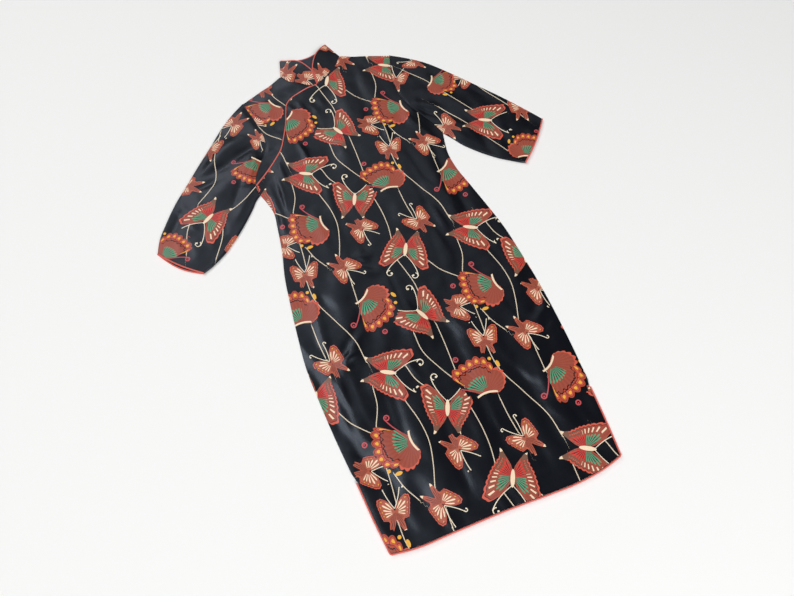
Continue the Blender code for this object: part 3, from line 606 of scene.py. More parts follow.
def butterfly_places(corners, centres, prints):
    """For each face, its nearest butterfly's kind, and each corner's place in wing lengths."""
    prints = np.array(prints, float)
    heading = np.radians(prints[:, 2])
    ahead = np.column_stack([np.cos(heading), np.sin(heading)])
    side_on = prints[:, 4] == SIDE_ON
    middle = prints[:, :2] + ahead * np.where(side_on, SIDE_ON_MIDDLE, 0.0)[:, None] * prints[:, 3:4]
    size = prints[:, 3] * np.where(side_on, SIDE_ON_SIZE, 1.0)
    away = np.linalg.norm(centres[:, None] - middle[None], axis=2) / size[None]
    nearest = away.argmin(axis=1)
    own = prints[nearest]
    forward = ahead[nearest]
    step = (corners - own[:, None, :2]) / own[:, None, 3:4]
    q = (step * forward[:, None]).sum(axis=2)
    p = (step[..., 0] * forward[:, None, 1] - step[..., 1] * forward[:, None, 0]) * own[:, None, 5]
    return np.stack([p, q], axis=2), own[:, 4]


# %% Tell each face its cord. A cord ends softly, a little past its last point
CORD_STEPS = 24
CORD_END = 0.004
FACES_AT_ONCE = 4000


def cord_places(corners, centres, cords):
    """For each corner, its distance across and along the face's nearest cord, in metres."""
    starts, runs, before = [], [], []
    for cord in cords:
        path = smooth_rows(cord, CORD_STEPS)
        run = np.diff(path, axis=0)
        starts.append(path[:-1])
        runs.append(run)
        before.append(way_along(path)[:-1])
    starts, runs, before = np.vstack(starts), np.vstack(runs), np.concatenate(before)
    length = np.linalg.norm(runs, axis=1)
    nearest = np.empty(len(centres), int)
    for first in range(0, len(centres), FACES_AT_ONCE):
        some = slice(first, first + FACES_AT_ONCE)
        part = centres[some, None] - starts[None]
        t = np.clip((part * runs[None]).sum(axis=2) / length**2, 0, 1)
        nearest[some] = np.linalg.norm(part - t[..., None] * runs[None], axis=2).argmin(axis=1)
    step = corners - starts[nearest][:, None]
    way = (runs / length[:, None])[nearest][:, None]
    along = (step * way).sum(axis=2)
    across = step[..., 0] * way[..., 1] - step[..., 1] * way[..., 0]
    beyond = np.maximum(np.maximum(-along, along - length[nearest][:, None]) - CORD_END, 0.0)
    return np.stack([across + np.sign(across) * beyond, along + before[nearest][:, None]], axis=2)


# %% [markdown]
# ## Cloth
# Every piece is an open surface of quads, in rows and columns. Solidify gives it a wall, so that
# cut edges show their thickness and no piece is a lump. The wall's inner side gets the plain satin
# back, because the print is on one side only.

# %% One piece of cloth
def cells(index):
    """The four corners of each cell in a grid of point numbers."""
    return np.stack([index[:-1, :-1], index[:-1, 1:], index[1:, 1:], index[1:, :-1]], axis=2).reshape(-1, 4)


def placed(name, data):
    """A new object in the scene, moved from the hem's origin to the frame's."""
    piece = bpy.data.objects.new(name, data)
    piece.location = HOME
    bpy.context.scene.collection.objects.link(piece)
    return piece


def sharpen_rim(mesh):
    """Drop points without a face, and keep the smooth shading from running over the cut edge."""
    trim = bmesh.new()
    trim.from_mesh(mesh)
    bmesh.ops.delete(trim, geom=[v for v in trim.verts if not v.link_faces], context="VERTS")
    for edge in trim.edges:
        edge.smooth = not edge.is_boundary
    trim.to_mesh(mesh)
    trim.free()


def cloth(name, points, plan, prints, cords, face, back, closed=False, wall=CLOTH):
    """A named shell through a grid of points, printed by its place in the plan."""
    index = np.arange(points.shape[0] * points.shape[1]).reshape(points.shape[:2])
    corners = plan.reshape(-1, 2)[cells(index)]
    if closed:
        index[:, -1] = index[:, 0]
    mesh = bpy.data.meshes.new(name)
    mesh.from_pydata(points.reshape(-1, 3), [], cells(index).tolist())
    mesh.uv_layers.new(name="weave").data.foreach_set("uv", corners.reshape(-1))
    if prints:
        centres = corners.mean(axis=1)
        places, kinds = butterfly_places(corners, centres, prints)
        mesh.uv_layers.new(name="butterfly").data.foreach_set("uv", places.reshape(-1))
        places = cord_places(corners, centres, cords)
        mesh.uv_layers.new(name="cord").data.foreach_set("uv", places.reshape(-1))
        mesh.attributes.new("kind", "FLOAT", "FACE").data.foreach_set("value", kinds)
    mesh.validate()
    mesh.shade_smooth()
    sharpen_rim(mesh)
    mesh.materials.append(face)
    mesh.materials.append(back)
    piece = placed(name, mesh)
    shell = piece.modifiers.new("wall", "SOLIDIFY")
    shell.thickness = wall
    shell.offset = -1.0
    shell.material_offset = 1
    shell.material_offset_rim = 0
    print(name, "has", len(corners), "faces")
    return piece


# %% [markdown]
# ## A small language for shaders
# A material is a sum of masks and colours. Writing it as arithmetic is easier to read than a long
# list of nodes and links, so a small class stands for one wire between nodes: adding two wires
# adds a Math node. Colours are blended by a Mix node, because a Math node would turn them grey.

# %% The wire and the material
class Wire:
    """A number or colour on its way through a material."""

    def __init__(self, material, socket):
        self.material = material
        self.socket = socket

    def math(self, operation, *others):
        return self.material.node("ShaderNodeMath", {"operation": operation}, self, *others)

    def __add__(self, other):
        return self.math("ADD", other)

    __radd__ = __add__

    def __sub__(self, other):
        return self.math("SUBTRACT", other)

    def __rsub__(self, other):
        return self.material.node("ShaderNodeMath", {"operation": "SUBTRACT"}, other, self)

    def __mul__(self, other):
        return self.math("MULTIPLY", other)

    __rmul__ = __mul__

    def __truediv__(self, other):
        return self.math("DIVIDE", other)

    def __abs__(self):
        return self.math("ABSOLUTE")

    def __gt__(self, other):
        return self.math("GREATER_THAN", other)

    def __lt__(self, other):
        return self.math("LESS_THAN", other)

    def __or__(self, other):
        """1 where either of two masks is 1."""
        return self.math("MAXIMUM", other)

    def between(self, low, high):
        """1 where the value lies between two others."""
        return (self > low) * (self < high)

    def out(self, name):
        """Another output of the same node."""
        return Wire(self.material, self.socket.node.outputs[name])


class Finish:
    """A material that is written as arithmetic on wires."""

    def __init__(self, name, **constants):
        self.made = bpy.data.materials.new(name)
        self.made.use_nodes = True
        self.tree = self.made.node_tree
        self.shader = self.tree.nodes["Principled BSDF"]
        for socket, value in constants.items():
            self.shader.inputs[socket.replace("_", " ")].default_value = value

    def node(self, kind, settings, *inputs, **named):
        """Add a node: its settings first, then the values or wires of its sockets."""
        node = self.tree.nodes.new(kind)
        stops = settings.pop("stops", None)
        for key, value in settings.items():
            setattr(node, key, value)
        if stops:
            while len(node.color_ramp.elements) < len(stops):
                node.color_ramp.elements.new(0.5)
            for element, (position, grey) in zip(node.color_ramp.elements, stops):
                element.position = position
                element.color = (grey, grey, grey, 1.0)
        pairs = [(node.inputs[place], value) for place, value in enumerate(inputs)]
        pairs += [(node.inputs[key], value) for key, value in named.items()]
        for socket, value in pairs:
            self.feed(socket, value)
        return Wire(self, next(output for output in node.outputs if output.enabled))

    def feed(self, socket, value):
        """Join a wire to a socket, or set the socket's own value."""
        if isinstance(value, Wire):
            self.tree.links.new(value.socket, socket)
        else:
            socket.default_value = value

    def mix(self, mask, below, above):
        """The colour below, covered by the colour above where the mask is 1."""
        node = self.tree.nodes.new("ShaderNodeMix")
        node.data_type = "RGBA"
        for name, value in (("Factor_Float", mask), ("A_Color", below), ("B_Color", above)):
            socket = next(s for s in node.inputs if s.identifier == name)
            self.feed(socket, (*value, 1.0) if isinstance(value, tuple) else value)
        return Wire(self, next(s for s in node.outputs if s.identifier == "Result_Color"))

    def layers(self, colour, *covers):
        """The colour, covered in turn by each ink where its mask is 1."""
        for mask, cover in covers:
            colour = self.mix(mask, colour, cover)
        return colour

    def split(self, vector):
        """The x and y of a vector."""
        parts = self.node("ShaderNodeSeparateXYZ", {}, vector)
        return parts.out("X"), parts.out("Y")


def ink(red, green, blue):
    """A colour as the eye reads it from 0 to 255, turned into light by the sRGB curve."""
    shares = [value / 255 for value in (red, green, blue)]
    return tuple(v / 12.92 if v <= 0.04045 else ((v + 0.055) / 1.055) ** 2.4 for v in shares)


# %% Inks of the print
NAVY = ink(5, 6, 11)
RUST = ink(162, 78, 58)
RUST_DARK = ink(100, 44, 38)
DUSK = ink(180, 94, 68)
CORAL = ink(210, 92, 70)
RED = ink(222, 62, 52)
GREEN = ink(72, 168, 128)
CREAM = ink(244, 220, 188)
GOLD = ink(238, 176, 60)
ORANGE = ink(178, 72, 46)
TAUPE = ink(122, 84, 66)
PINK = ink(190, 78, 82)
CORD = ink(240, 226, 200)
CORD_SHADE = ink(178, 150, 122)

# %% [markdown]
# ## Drawing a butterfly
# A butterfly is easiest in polar form. The angle runs from its head round to its tail, and the
# wing's edge is a radius for each angle, kept in a colour ramp. Dividing the distance from the body
# by that radius gives a depth: 0 at the body and 1 at the wing's edge. Every band of the wing, such
# as the green fan, the row of cream dashes and the scalloped rim, is then a range of depths.
# Angles are in degrees from the head, lengths in wing lengths, and the inks are laid over each
# other in the order of a screen print.

# %% Wing edges. Columns: angle from the head in degrees, radius in wing lengths
BIG_WINGS = [
    (0, 0.02), (18, 0.14), (26, 0.38), (33, 0.68), (40, 0.93), (46, 1.02), (52, 1.01), (58, 0.92),
    (66, 0.82), (76, 0.73), (88, 0.66), (100, 0.62), (114, 0.60), (126, 0.59), (136, 0.62),
    (143, 0.65), (148, 0.73), (152, 0.84), (155, 0.78), (158, 0.60), (165, 0.38), (180, 0.12),
]
SMALL_WINGS = [
    (0, 0.02), (14, 0.10), (24, 0.40), (32, 0.72), (40, 0.94), (48, 1.00), (56, 0.96), (66, 0.84),
    (78, 0.74), (92, 0.68), (106, 0.67), (118, 0.66), (126, 0.56), (136, 0.50), (144, 0.56),
    (151, 0.76), (156, 0.96), (160, 1.04), (164, 0.88), (169, 0.60), (174, 0.42), (180, 0.34),
]
SIDE_WING = [
    (-180, 0.02), (-128, 0.05), (-114, 0.30), (-100, 0.44), (-86, 0.57), (-72, 0.69), (-60, 0.76),
    (-48, 0.78), (-40, 0.74), (-32, 0.84), (-22, 0.99), (-10, 1.07), (0, 1.08), (12, 1.06),
    (24, 1.10), (34, 1.14), (41, 1.17), (45, 1.02), (49, 0.80), (54, 0.62), (62, 0.44), (74, 0.27),
    (86, 0.08), (180, 0.02),
]
WIDEST = 1.25


# %% Shapes that all butterflies share
def ring(x, y, radius, half_width):
    """A thin ring around the point where x and y are 0."""
    return abs((x * x + y * y).math("SQRT") - radius) < half_width


def spot(x, y, radius):
    """A round spot around the point where x and y are 0."""
    return (x * x + y * y) < radius * radius


def waves(turn, period):
    """A wave of the given period in degrees."""
    return (turn * (2 * math.pi / period)).math("SINE")


def around(finish, p, q, rows, start, scallop, lobe):
    """Turn from the head, distance from the body, lobes of the edge and depth in the wing."""
    span = 180.0 - start
    reach = (p * p + q * q).math("SQRT")
    turn = p.math("ARCTAN2", q) * (180.0 / math.pi)
    stops = [((angle - start) / span, radius / WIDEST) for angle, radius in rows]
    edge = WIDEST * finish.node("ShaderNodeValToRGB", {"stops": stops}, (turn - start) / span)
    lobes = abs(waves(turn, 2 * lobe))
    depth = reach / (edge * (1 - scallop + scallop * lobes) + 0.001)
    return turn, reach, lobes, depth


# %% The big open butterfly
def big_butterfly(finish, p, q, one_wing):
    """Colour and mask of a big open butterfly: p is across and q towards its head."""
    side = abs(p)
    turn, reach, _, depth = around(finish, side, q, BIG_WINGS, 0, 0.05, 11.5)
    wing = (depth < 1.0) * (1 - one_wing * (p > 0.0))
    rays = waves(turn, 9.5)
    fan = turn.between(34.0, 92.0) * depth.between(0.14, 0.50 + 0.07 * rays)
    flame = waves(turn, 11.0)
    flare = turn.between(98.0, 162.0) * depth.between(0.12, 0.58 + 0.09 * flame)
    band = (turn > 112.0) * depth.between(0.68, 0.90)
    speckle = (abs(waves(turn, 12.0)) > 0.62) * depth.between(0.75, 0.83)
    dash = (waves(turn, 11.5) > 0.50) * (abs(depth - 0.73) < 0.10) * turn.between(40.0, 106.0)
    tail = (turn > 143.0) * (reach > 0.56)
    body_long = (q - 0.04) / 0.24
    body = ((side / 0.062) * (side / 0.062) + body_long * body_long) < 1.0
    colour = finish.layers(
        finish.mix(0.12 * (rays + 1.0), RUST, RUST_DARK),
        (depth > 0.925, CORAL),
        (depth.between(0.895, 0.925), RUST_DARK),
        (fan, finish.mix(rays > -0.05, RUST_DARK, GREEN)),
        (flare, finish.mix(flame > -0.05, RUST_DARK, RED)),
        (band, finish.mix(speckle, TAUPE, CORAL)),
        (dash, CREAM),
        (tail, finish.mix(reach > 0.72, TAUPE, CREAM)),
        (body, CREAM),
    )
    rise = q - 0.22
    feeler = (abs(side - 1.15 * rise + 0.62 * rise * rise) < 0.015) * q.between(0.24, 0.93)
    curl = ring(side - 0.40, q - 0.93, 0.090, 0.014) * (1 - (side < 0.40) * (q < 0.93))
    tip = spot(side - 0.345, q - 0.93, 0.032)
    mask = wing | body
    lines = (feeler | curl | tip) * (1 - mask)
    return finish.mix(lines, colour, CORD), mask | lines


# %% The small open butterfly
def small_butterfly(finish, p, q):
    """Colour and mask of a small open butterfly, with longer tails and knobbed feelers."""
    side = abs(p)
    turn, reach, _, depth = around(finish, side, q + 0.06, SMALL_WINGS, 0, 0.03, 11.0)
    wing = depth < 1.0
    hind = turn > 128.0
    stripes = hind * (waves(turn, 9.0) > 0.2) * (depth < 0.80)
    spread = waves(turn + 4.0, 18.0)
    streak = (spread > 0.15) * depth.between(0.22, 0.60 + 0.12 * spread) * turn.between(32.0, 118.0)
    beads = (waves(turn + 13.0, 18.0) > 0.85) * depth.between(0.80, 0.86) * (turn < 116.0)
    colour = finish.layers(
        finish.mix(0.25 * (waves(turn, 7.0) + 1.0), DUSK, RUST),
        (stripes, RUST_DARK),
        (depth > 0.94, CORAL),
        (depth.between(0.90, 0.94) * (1 - hind), RUST_DARK),
        (streak, CREAM),
        (beads, GOLD),
        ((turn > 148.0) * (reach > 0.88), CREAM),
    )
    rise = q - 0.10
    feeler = (abs(side - 0.62 * rise + 0.20 * rise * rise) < 0.021) * q.between(0.10, 1.00)
    curl = ring(side - 0.470, q - 1.00, 0.075, 0.021) * (q > 0.96)
    knob = spot(side - 0.530, q - 0.97, 0.036)
    lines = (feeler | curl | knob) * (1 - wing)
    return finish.mix(lines, colour, CORD), wing | lines


# %% The butterfly seen from the side, with a bead in every lobe of its edge
BEAD_STEP = 13.0
BEAD_DEPTH = 0.865
BEAD_RINGS = [(0.105, RUST_DARK), (0.088, CORAL), (0.062, ORANGE), (0.046, GOLD)]


def side_butterfly(finish, p, q):
    """Colour and mask of a butterfly with closed wings: q runs down the wing, p to its head."""
    turn, reach, lobes, depth = around(finish, p, q, SIDE_WING, -180, 0.08, BEAD_STEP)
    wing = depth < 1.0
    rays = waves(turn, 10.5)
    fan = turn.between(-18.0, 56.0) * reach.between(0.14, 0.45 + 0.05 * rays + 0.0016 * turn)
    lace = turn.between(-36.0, 50.0)
    scallop = depth - 0.69 - 0.0012 * turn - 0.05 * abs(waves(turn + 6.0, 23.0))
    along_edge = ((turn / BEAD_STEP).math("FRACT") - 0.5) * reach * math.radians(BEAD_STEP)
    beads = [(spot(along_edge, depth - BEAD_DEPTH, radius) * lace, cover) for radius, cover in BEAD_RINGS]
    bend = q - 0.01 + 0.75 * (p - 0.10) * (p - 0.10)
    body = (abs(bend) < 0.028) * p.between(-0.26, 0.32)
    rise = p - 0.20
    feeler = (abs(q - 0.04 - 0.95 * rise + 0.45 * rise * rise) < 0.019) * p.between(0.20, 0.86)
    curl = ring(p - 0.86, q - 0.40, 0.068, 0.019) | spot(p - 0.87, q - 0.41, 0.024)
    top_curl = ring(p - 0.40, q - 1.20, 0.062, 0.019) | spot(p - 0.41, q - 1.21, 0.022)
    mask = wing | body
    lines = (feeler | curl | top_curl) * (1 - mask)
    tails = (spot(p + 0.62, (q - 0.62) * 0.5, 0.050) | spot(p + 0.47, q - 0.84, 0.050)) * (1 - mask)
    colour = finish.layers(
        finish.mix(0.12 * (rays + 1.0), RUST, RUST_DARK),
        ((depth > 0.95 - 0.06 * lobes) * (turn < -30.0), CORAL),
        (fan, finish.mix(rays > -0.10, RUST_DARK, GREEN)),
        (lace * (scallop > 0.0), ORANGE),
        *beads,
        ((abs(scallop) < 0.017) * lace, NAVY),
        (body, CREAM),
        (lines, PINK),
        (tails, GOLD),
    )
    return colour, mask | lines | tails


# %% [markdown]
# ## Satin
# Satin floats long threads on its face, so it shines softly along folds and stays dark elsewhere.
# The ground is nearly black, and its highlight has a blue cast. A fine weave and a slow unevenness
# go into the bump and the roughness, and the print is a little rougher than the ground.

# %% Ground of every satin finish. The heights of the bump are in metres
THREADS = 0.000004
SLUB = 0.000012
CLOUD = 0.0014
RUMPLE = 0.0064
CLOUD_ROUGHNESS = 0.06
SLUB_ROUGHNESS = 0.05
MEAN_UNEVENNESS = 0.05


def weave_of(finish):
    """Bump and roughness of satin: fine threads and slow unevenness."""
    place = finish.node("ShaderNodeUVMap", {"uv_map": "weave"})
    across, along = finish.split(place)
    drawn_out = finish.node("ShaderNodeCombineXYZ", {}, across * 2.2 + along * 0.3, along)

    def noise(vector, scale, detail, distortion=0.0):
        sockets = {"Vector": vector, "Scale": scale, "Detail": detail, "Distortion": distortion}
        return finish.node("ShaderNodeTexNoise", {"noise_dimensions": "2D"}, **sockets)

    threads = (across * 5200.0).math("SINE") * (along * 2600.0 + across * 900.0).math("SINE")
    slub = noise(place, 420.0, 2.0)
    cloud = noise(place, 22.0, 1.0)
    rumple = noise(drawn_out, 5.5, 0.6, 0.8)
    height = threads * THREADS + slub * SLUB + cloud * CLOUD + rumple * RUMPLE
    bump = finish.node("ShaderNodeBump", {}, Strength=1.0, Distance=1.0, Height=height)
    finish.feed(finish.shader.inputs["Normal"], bump)
    return CLOUD_ROUGHNESS * cloud + SLUB_ROUGHNESS * slub, cloud


def plain_satin(name, colour, rough):
    """Satin of one colour."""
    finish = Finish(name, Specular_IOR_Level=0.35, Specular_Tint=(0.8, 0.88, 1.0, 1.0))
    uneven, cloud = weave_of(finish)
    darker = tuple(0.75 * v for v in colour)
    finish.feed(finish.shader.inputs["Roughness"], uneven + (rough - MEAN_UNEVENNESS))
    finish.feed(finish.shader.inputs["Base Color"], finish.mix(cloud, darker, colour))
    return finish.made


# %% Printed satin: the ground, the twisted cords, then the butterflies
CORD_HALF_WIDTH = 0.00085
TWISTS_ALONG = 2600.0
TWISTS_ACROSS = 1500.0
SATIN_ROUGHNESS = 0.26
PRINT_ROUGHNESS = 0.12


def printed_satin(name):
    """Dark satin with the butterflies and cords."""
    finish = Finish(name, Specular_IOR_Level=0.45, Specular_Tint=(0.74, 0.84, 1.0, 1.0))
    uneven, cloud = weave_of(finish)
    across, along = finish.split(finish.node("ShaderNodeUVMap", {"uv_map": "cord"}))
    twist = (along * TWISTS_ALONG + across * TWISTS_ACROSS).math("SINE")
    colour = finish.layers(
        finish.mix(cloud, NAVY, tuple(1.35 * v for v in NAVY)),
        (abs(across) < CORD_HALF_WIDTH, finish.mix(twist > -0.5, CORD_SHADE, CORD)),
    )
    p, q = finish.split(finish.node("ShaderNodeUVMap", {"uv_map": "butterfly"}))
    kind = finish.node("ShaderNodeAttribute", {"attribute_name": "kind"}).out("Fac")
    big, small, side_on, one_wing = [
        kind.between(number - 0.5, number + 0.5) for number in (BIG, SMALL, SIDE_ON, ONE_WING)
    ]
    printed = 0.0
    for (drawn, mask), chosen in (
        (big_butterfly(finish, p, q, one_wing), big | one_wing),
        (small_butterfly(finish, p, q), small),
        (side_butterfly(finish, p, q), side_on),
    ):
        mask = mask * chosen
        colour = finish.mix(mask, colour, drawn)
        printed = mask + printed
    finish.feed(finish.shader.inputs["Base Color"], colour)
    finish.feed(finish.shader.inputs["Roughness"], uneven + SATIN_ROUGHNESS + PRINT_ROUGHNESS * printed)
    return finish.made


PRINTED = printed_satin("printed_satin")
SATIN_BACK = plain_satin("satin_back", ink(34, 36, 44), 0.50)
FACING = plain_satin("collar_facing_satin", ink(46, 50, 60), 0.42)
PIPING_SATIN = plain_satin("piping_satin", ink(230, 112, 98), 0.42)
print("nodes in the printed satin:", len(PRINTED.node_tree.nodes))

# %% [markdown]
# ## The back
# The back is the only piece that touches the floor all over, so it is flat. Its sides, armholes and
# hem are the same lines as those of the front, and one shallow neckline joins its shoulders.

# %% Back
def hem_edge(steps):
    """Lower edge of a panel, above its piping."""
    x = np.linspace(right_side[0, 0], left_side[0, 0], steps + 1)
    return np.column_stack([x, np.interp(x, hem_line[:, 0], hem_line[:, 1])])


ACROSS = 52 * FINE
shoulder_steps = (ACROSS - NECK_STEPS - 2) // 2
right_edge = chain(right_side, right_armhole[::-1])
left_edge = chain(left_side, left_armhole[::-1])
back_top = np.vstack([
    np.linspace(right_edge[-1], RIGHT_NECK_POINT, shoulder_steps + 1),
    neck_back,
    np.linspace(LEFT_NECK_POINT, left_edge[-1], ACROSS - NECK_STEPS - 1 - shoulder_steps),
])
back_plan = coons(hem_edge(ACROSS), back_top, right_edge, left_edge)
back_points = np.dstack([back_plan, np.full(back_plan.shape[:2], CLOTH)])
back = cloth("back_panel", back_points, back_plan, BODY_PRINT, BODY_CORDS, SATIN_BACK, PRINTED)


# %% [markdown]
# ## The front
# The front lies on the back, but it has to climb over things: the hem's piping, the underlap below
# the placket, and the neck seam. Those rises come first. Then come the air under the cloth and the
# folds, which die away towards the seams, where the cloth is held down.

# %% Heights of the front and the underlap
def front_height(x, y):
    """Upper side of the front."""
    hem = HEM_LIFT * fade(distance_to(slit_line, x, y), LIFT_REACH)
    placket = PLACKET_LIFT * fade(distance_to(placket_edge, x, y), PLACKET_REACH)
    neck = NECK_LIFT * fade(distance_to(neck_line, x, y), LIFT_REACH)
    side = distance_to(outline, x, y)
    inside = 1.0 - fade(side, AIR_REACH)
    loose = 1.0 - fade(side, HELD_REACH)
    folds = inside * (AIR_UNDER_FRONT + fold_height(BODY_FOLDS, x, y))
    small = loose * (fold_height(BODY_CREASES, x, y) + ripple(x, y))
    free = np.maximum(np.maximum(folds, 0.0) + small, -DEEPEST_CREASE)
    tuck = EDGE_TUCK * fade(side, TUCK_REACH)
    return FRONT_FLOOR + CLOTH + np.maximum(hem, placket) + neck + free - tuck


def underlap_height(x, y):
    """Upper side of the underlap."""
    loose = 1.0 - fade(distance_to(outline, x, y), HELD_REACH)
    relief = loose * (0.8 * abs(ripple(x, y)) + fold_height(UNDERLAP_FOLDS, x, y))
    return FRONT_FLOOR + CLOTH + NECK_LIFT * fade(distance_to(neck_line, x, y), LIFT_REACH) + relief


# %% Front
placket_steps = ACROSS - NECK_STEPS - 2 - 6 * FINE
placket_part = even_steps(placket_edge, placket_steps)
front_top = np.vstack([
    placket_part,
    neck_left,
    np.linspace(LEFT_NECK_POINT, left_armhole[0], 6 * FINE + 1),
])
below_placket = right_armhole[right_armhole[:, 1] < placket_part[0, 1]][::-1]
front_right = np.vstack([chain(right_side, below_placket), placket_part[:1]])
front_right = even_steps(front_right, len(left_edge) - 1)
front_plan = coons(hem_edge(ACROSS), front_top, front_right, left_edge)
front_points = np.dstack([front_plan, front_height(front_plan[..., 0], front_plan[..., 1])])
front = cloth("front_panel", front_points, front_plan, FRONT_PRINT, BODY_CORDS, PRINTED, SATIN_BACK)

# %% [markdown]
# ## The underlap
# The wearer's right shoulder is a separate piece. It carries the armhole and half of the neck, and
# a strip of it runs on under the placket, so that nothing shows when the placket gapes.

# %% Underlap
LAP_BELOW_PLACKET = 0.004
lap_steps = 30 * FINE
lap_armhole = right_armhole[right_armhole[:, 1] > placket_part[0, 1] - LAP_BELOW_PLACKET]
lap_left = even_steps(lap_armhole[::-1], lap_steps)
lap_hidden = smooth_rows(UNDERLAP_EDGE, lap_steps - 3)
lap_right = np.vstack([lap_hidden, np.linspace(lap_hidden[-1], neck_right[0], 4)[1:]])
lap_top = np.vstack([np.linspace(right_armhole[0], RIGHT_NECK_POINT, 12 * FINE), neck_right[::-1]])
lap_bottom = np.linspace(lap_left[0], lap_hidden[0], len(lap_top))
lap_plan = coons(lap_bottom, lap_top, lap_left, lap_right)
lap_points = np.dstack([lap_plan, underlap_height(lap_plan[..., 0], lap_plan[..., 1])])
underlap = cloth(
    "underlap_panel", lap_points, lap_plan, UNDERLAP_PRINT, UNDERLAP_CORDS, PRINTED, SATIN_BACK
)


# %% [markdown]
# ## The sleeves
# A sleeve is one tube, set into the armhole and pressed flat: two layers that meet in a fold along
# its upper edge and at the underarm seam. It is made as rings from the armhole to the cuff. The
# first ring follows the armhole, and the last one opens a little for the piping.

# %% Rings of a sleeve
SLEEVE_STEPS = 44 * FINE
TURN_ANGLES = [math.radians(a) for a in (30, 60, 90, 120, 150)]
TURN_STEPS = len(TURN_ANGLES)
SLEEVE_AIR = 0.001
THINNEST_SLEEVE = 0.0022
CUFF_BOW = 0.004


def turned_edge(start, way, radius, side):
    """Half circle that joins the two layers of a sleeve, from the upper one where side is 1."""
    plan = [start + way * radius * math.sin(angle) for angle in TURN_ANGLES]
    height = [radius * (1 + side * math.cos(angle)) for angle in TURN_ANGLES]
    return np.column_stack([plan, height])


def sleeve_rings(top_rows, under_rows, armhole, folds, outward, gape):
    """Rings of the pressed sleeve and the direction in which its cuff faces."""
    top = smooth_rows(top_rows, SLEEVE_STEPS)
    under = smooth_rows(under_rows, SLEEVE_STEPS)
    share = np.linspace(0.0, 1.0, ARMHOLE_STEPS + 1)[:, None]
    air = np.sin(math.pi * share[:, 0])
    seam = offset(armhole, -outward * GAP)
    bulge = seam - (seam[0] + share * (seam[-1] - seam[0]))
    top[0], under[0] = seam[0], seam[-1]
    cuff_way = top[-1] + under[-1] - top[-4] - under[-4]
    cuff_way /= np.linalg.norm(cuff_way)
    rings = []
    for step in range(SLEEVE_STEPS + 1):
        down = step / SLEEVE_STEPS
        across = under[step] - top[step]
        width = np.linalg.norm(across)
        across /= width
        radius = (SLEEVE_RISE + (CUFF_RISE - SLEEVE_RISE) * down) / 2
        tuck = radius * min(1.0, 10 * down)
        bow = np.sin(math.pi * share) * cuff_way * down**3
        line = top[step] + (tuck + share * (width - 2 * tuck)) * across
        line += bulge * (1 - down) ** 2 + bow * CUFF_BOW
        x, y = line.T
        loose = np.clip(3 * air, 0, 1) * np.clip(12 * down, 0, 1) * np.clip(10 * (1 - down), 0, 1)
        relief = air * math.sin(math.pi * down) * SLEEVE_AIR
        relief += loose * (fold_height(folds, x, y) + ripple(x, y))
        height = 2 * radius - EDGE_TUCK * (down < 0.02) + np.maximum(relief, THINNEST_SLEEVE - 2 * radius)
        upper = np.column_stack([line, height])
        lower = np.column_stack([line + bow * gape, np.zeros(len(line))])[::-1]
        under_turn = turned_edge(line[-1], across, radius, 1)
        top_turn = turned_edge(line[0], -across, radius, -1)
        rings.append(np.vstack([upper, under_turn, lower, top_turn, upper[:1]]))
    return np.array(rings), cuff_way


RIGHT_CUFF_GAPE = 0.005
right_rings, right_way = sleeve_rings(
    RIGHT_SLEEVE_TOP, RIGHT_SLEEVE_UNDER, right_armhole, RIGHT_SLEEVE_FOLDS, 1.0, RIGHT_CUFF_GAPE
)
left_rings, left_way = sleeve_rings(
    LEFT_SLEEVE_TOP, LEFT_SLEEVE_UNDER, left_armhole, LEFT_SLEEVE_FOLDS, -1.0, 0.0
)


# %% Sleeves
def sleeve(name, rings, prints, cords):
    """A closed tube of printed satin."""
    return cloth(name, rings, rings[..., :2], prints, cords, PRINTED, SATIN_BACK, closed=True)


right_sleeve = sleeve("right_sleeve_tube", right_rings[:, ::-1], RIGHT_SLEEVE_PRINT, RIGHT_SLEEVE_CORDS)
left_sleeve = sleeve("left_sleeve_tube", left_rings, LEFT_SLEEVE_PRINT, LEFT_SLEEVE_CORDS)


# %% [markdown]
# ## The collar
# The stand collar is two plies. Laid flat, its two front halves lean back over the neck and meet
# at the centre front in a small V, and the back half lies below them. It turns over at a fold on
# each side of the neck. It is drawn as stations: each has a point on the neck seam and a point on
# the top edge.

# %% Stations of the collar
FOLD_STEPS = 10


def fold_stations(first, last, outward):
    """Half circles from one layer of the collar to the other, at its base and its top."""
    stations = []
    for step in range(1, FOLD_STEPS):
        angle = math.pi * step / FOLD_STEPS
        station = (first + last) / 2 + (first - last) / 2 * math.cos(angle)
        for column in (0, 3):
            station[column] += outward * abs(first[column + 2] - last[column + 2]) / 2 * math.sin(angle)
        stations.append(station)
    return np.array(stations)


collar_right = smooth_rows(RIGHT_COLLAR, NECK_STEPS)
collar_back = smooth_rows(BACK_COLLAR, NECK_STEPS)
collar_left = smooth_rows(LEFT_COLLAR, NECK_STEPS)[::-1]
collar_line = np.vstack([
    collar_right,
    fold_stations(collar_right[-1], collar_back[0], -1.0),
    collar_back,
    fold_stations(collar_back[-1], collar_left[0], 1.0),
    collar_left,
])
print("length of the collar's neck seam, mm:", millimetres(collar_line[:, :3]))


# %% Collar and its facing
def shifted(points, distance):
    """The grid of points moved along its own normals."""
    across = np.gradient(points, axis=1)
    up = np.gradient(points, axis=0)
    normal = np.cross(across, up)
    normal /= np.linalg.norm(normal, axis=2)[..., None]
    return points + distance * normal


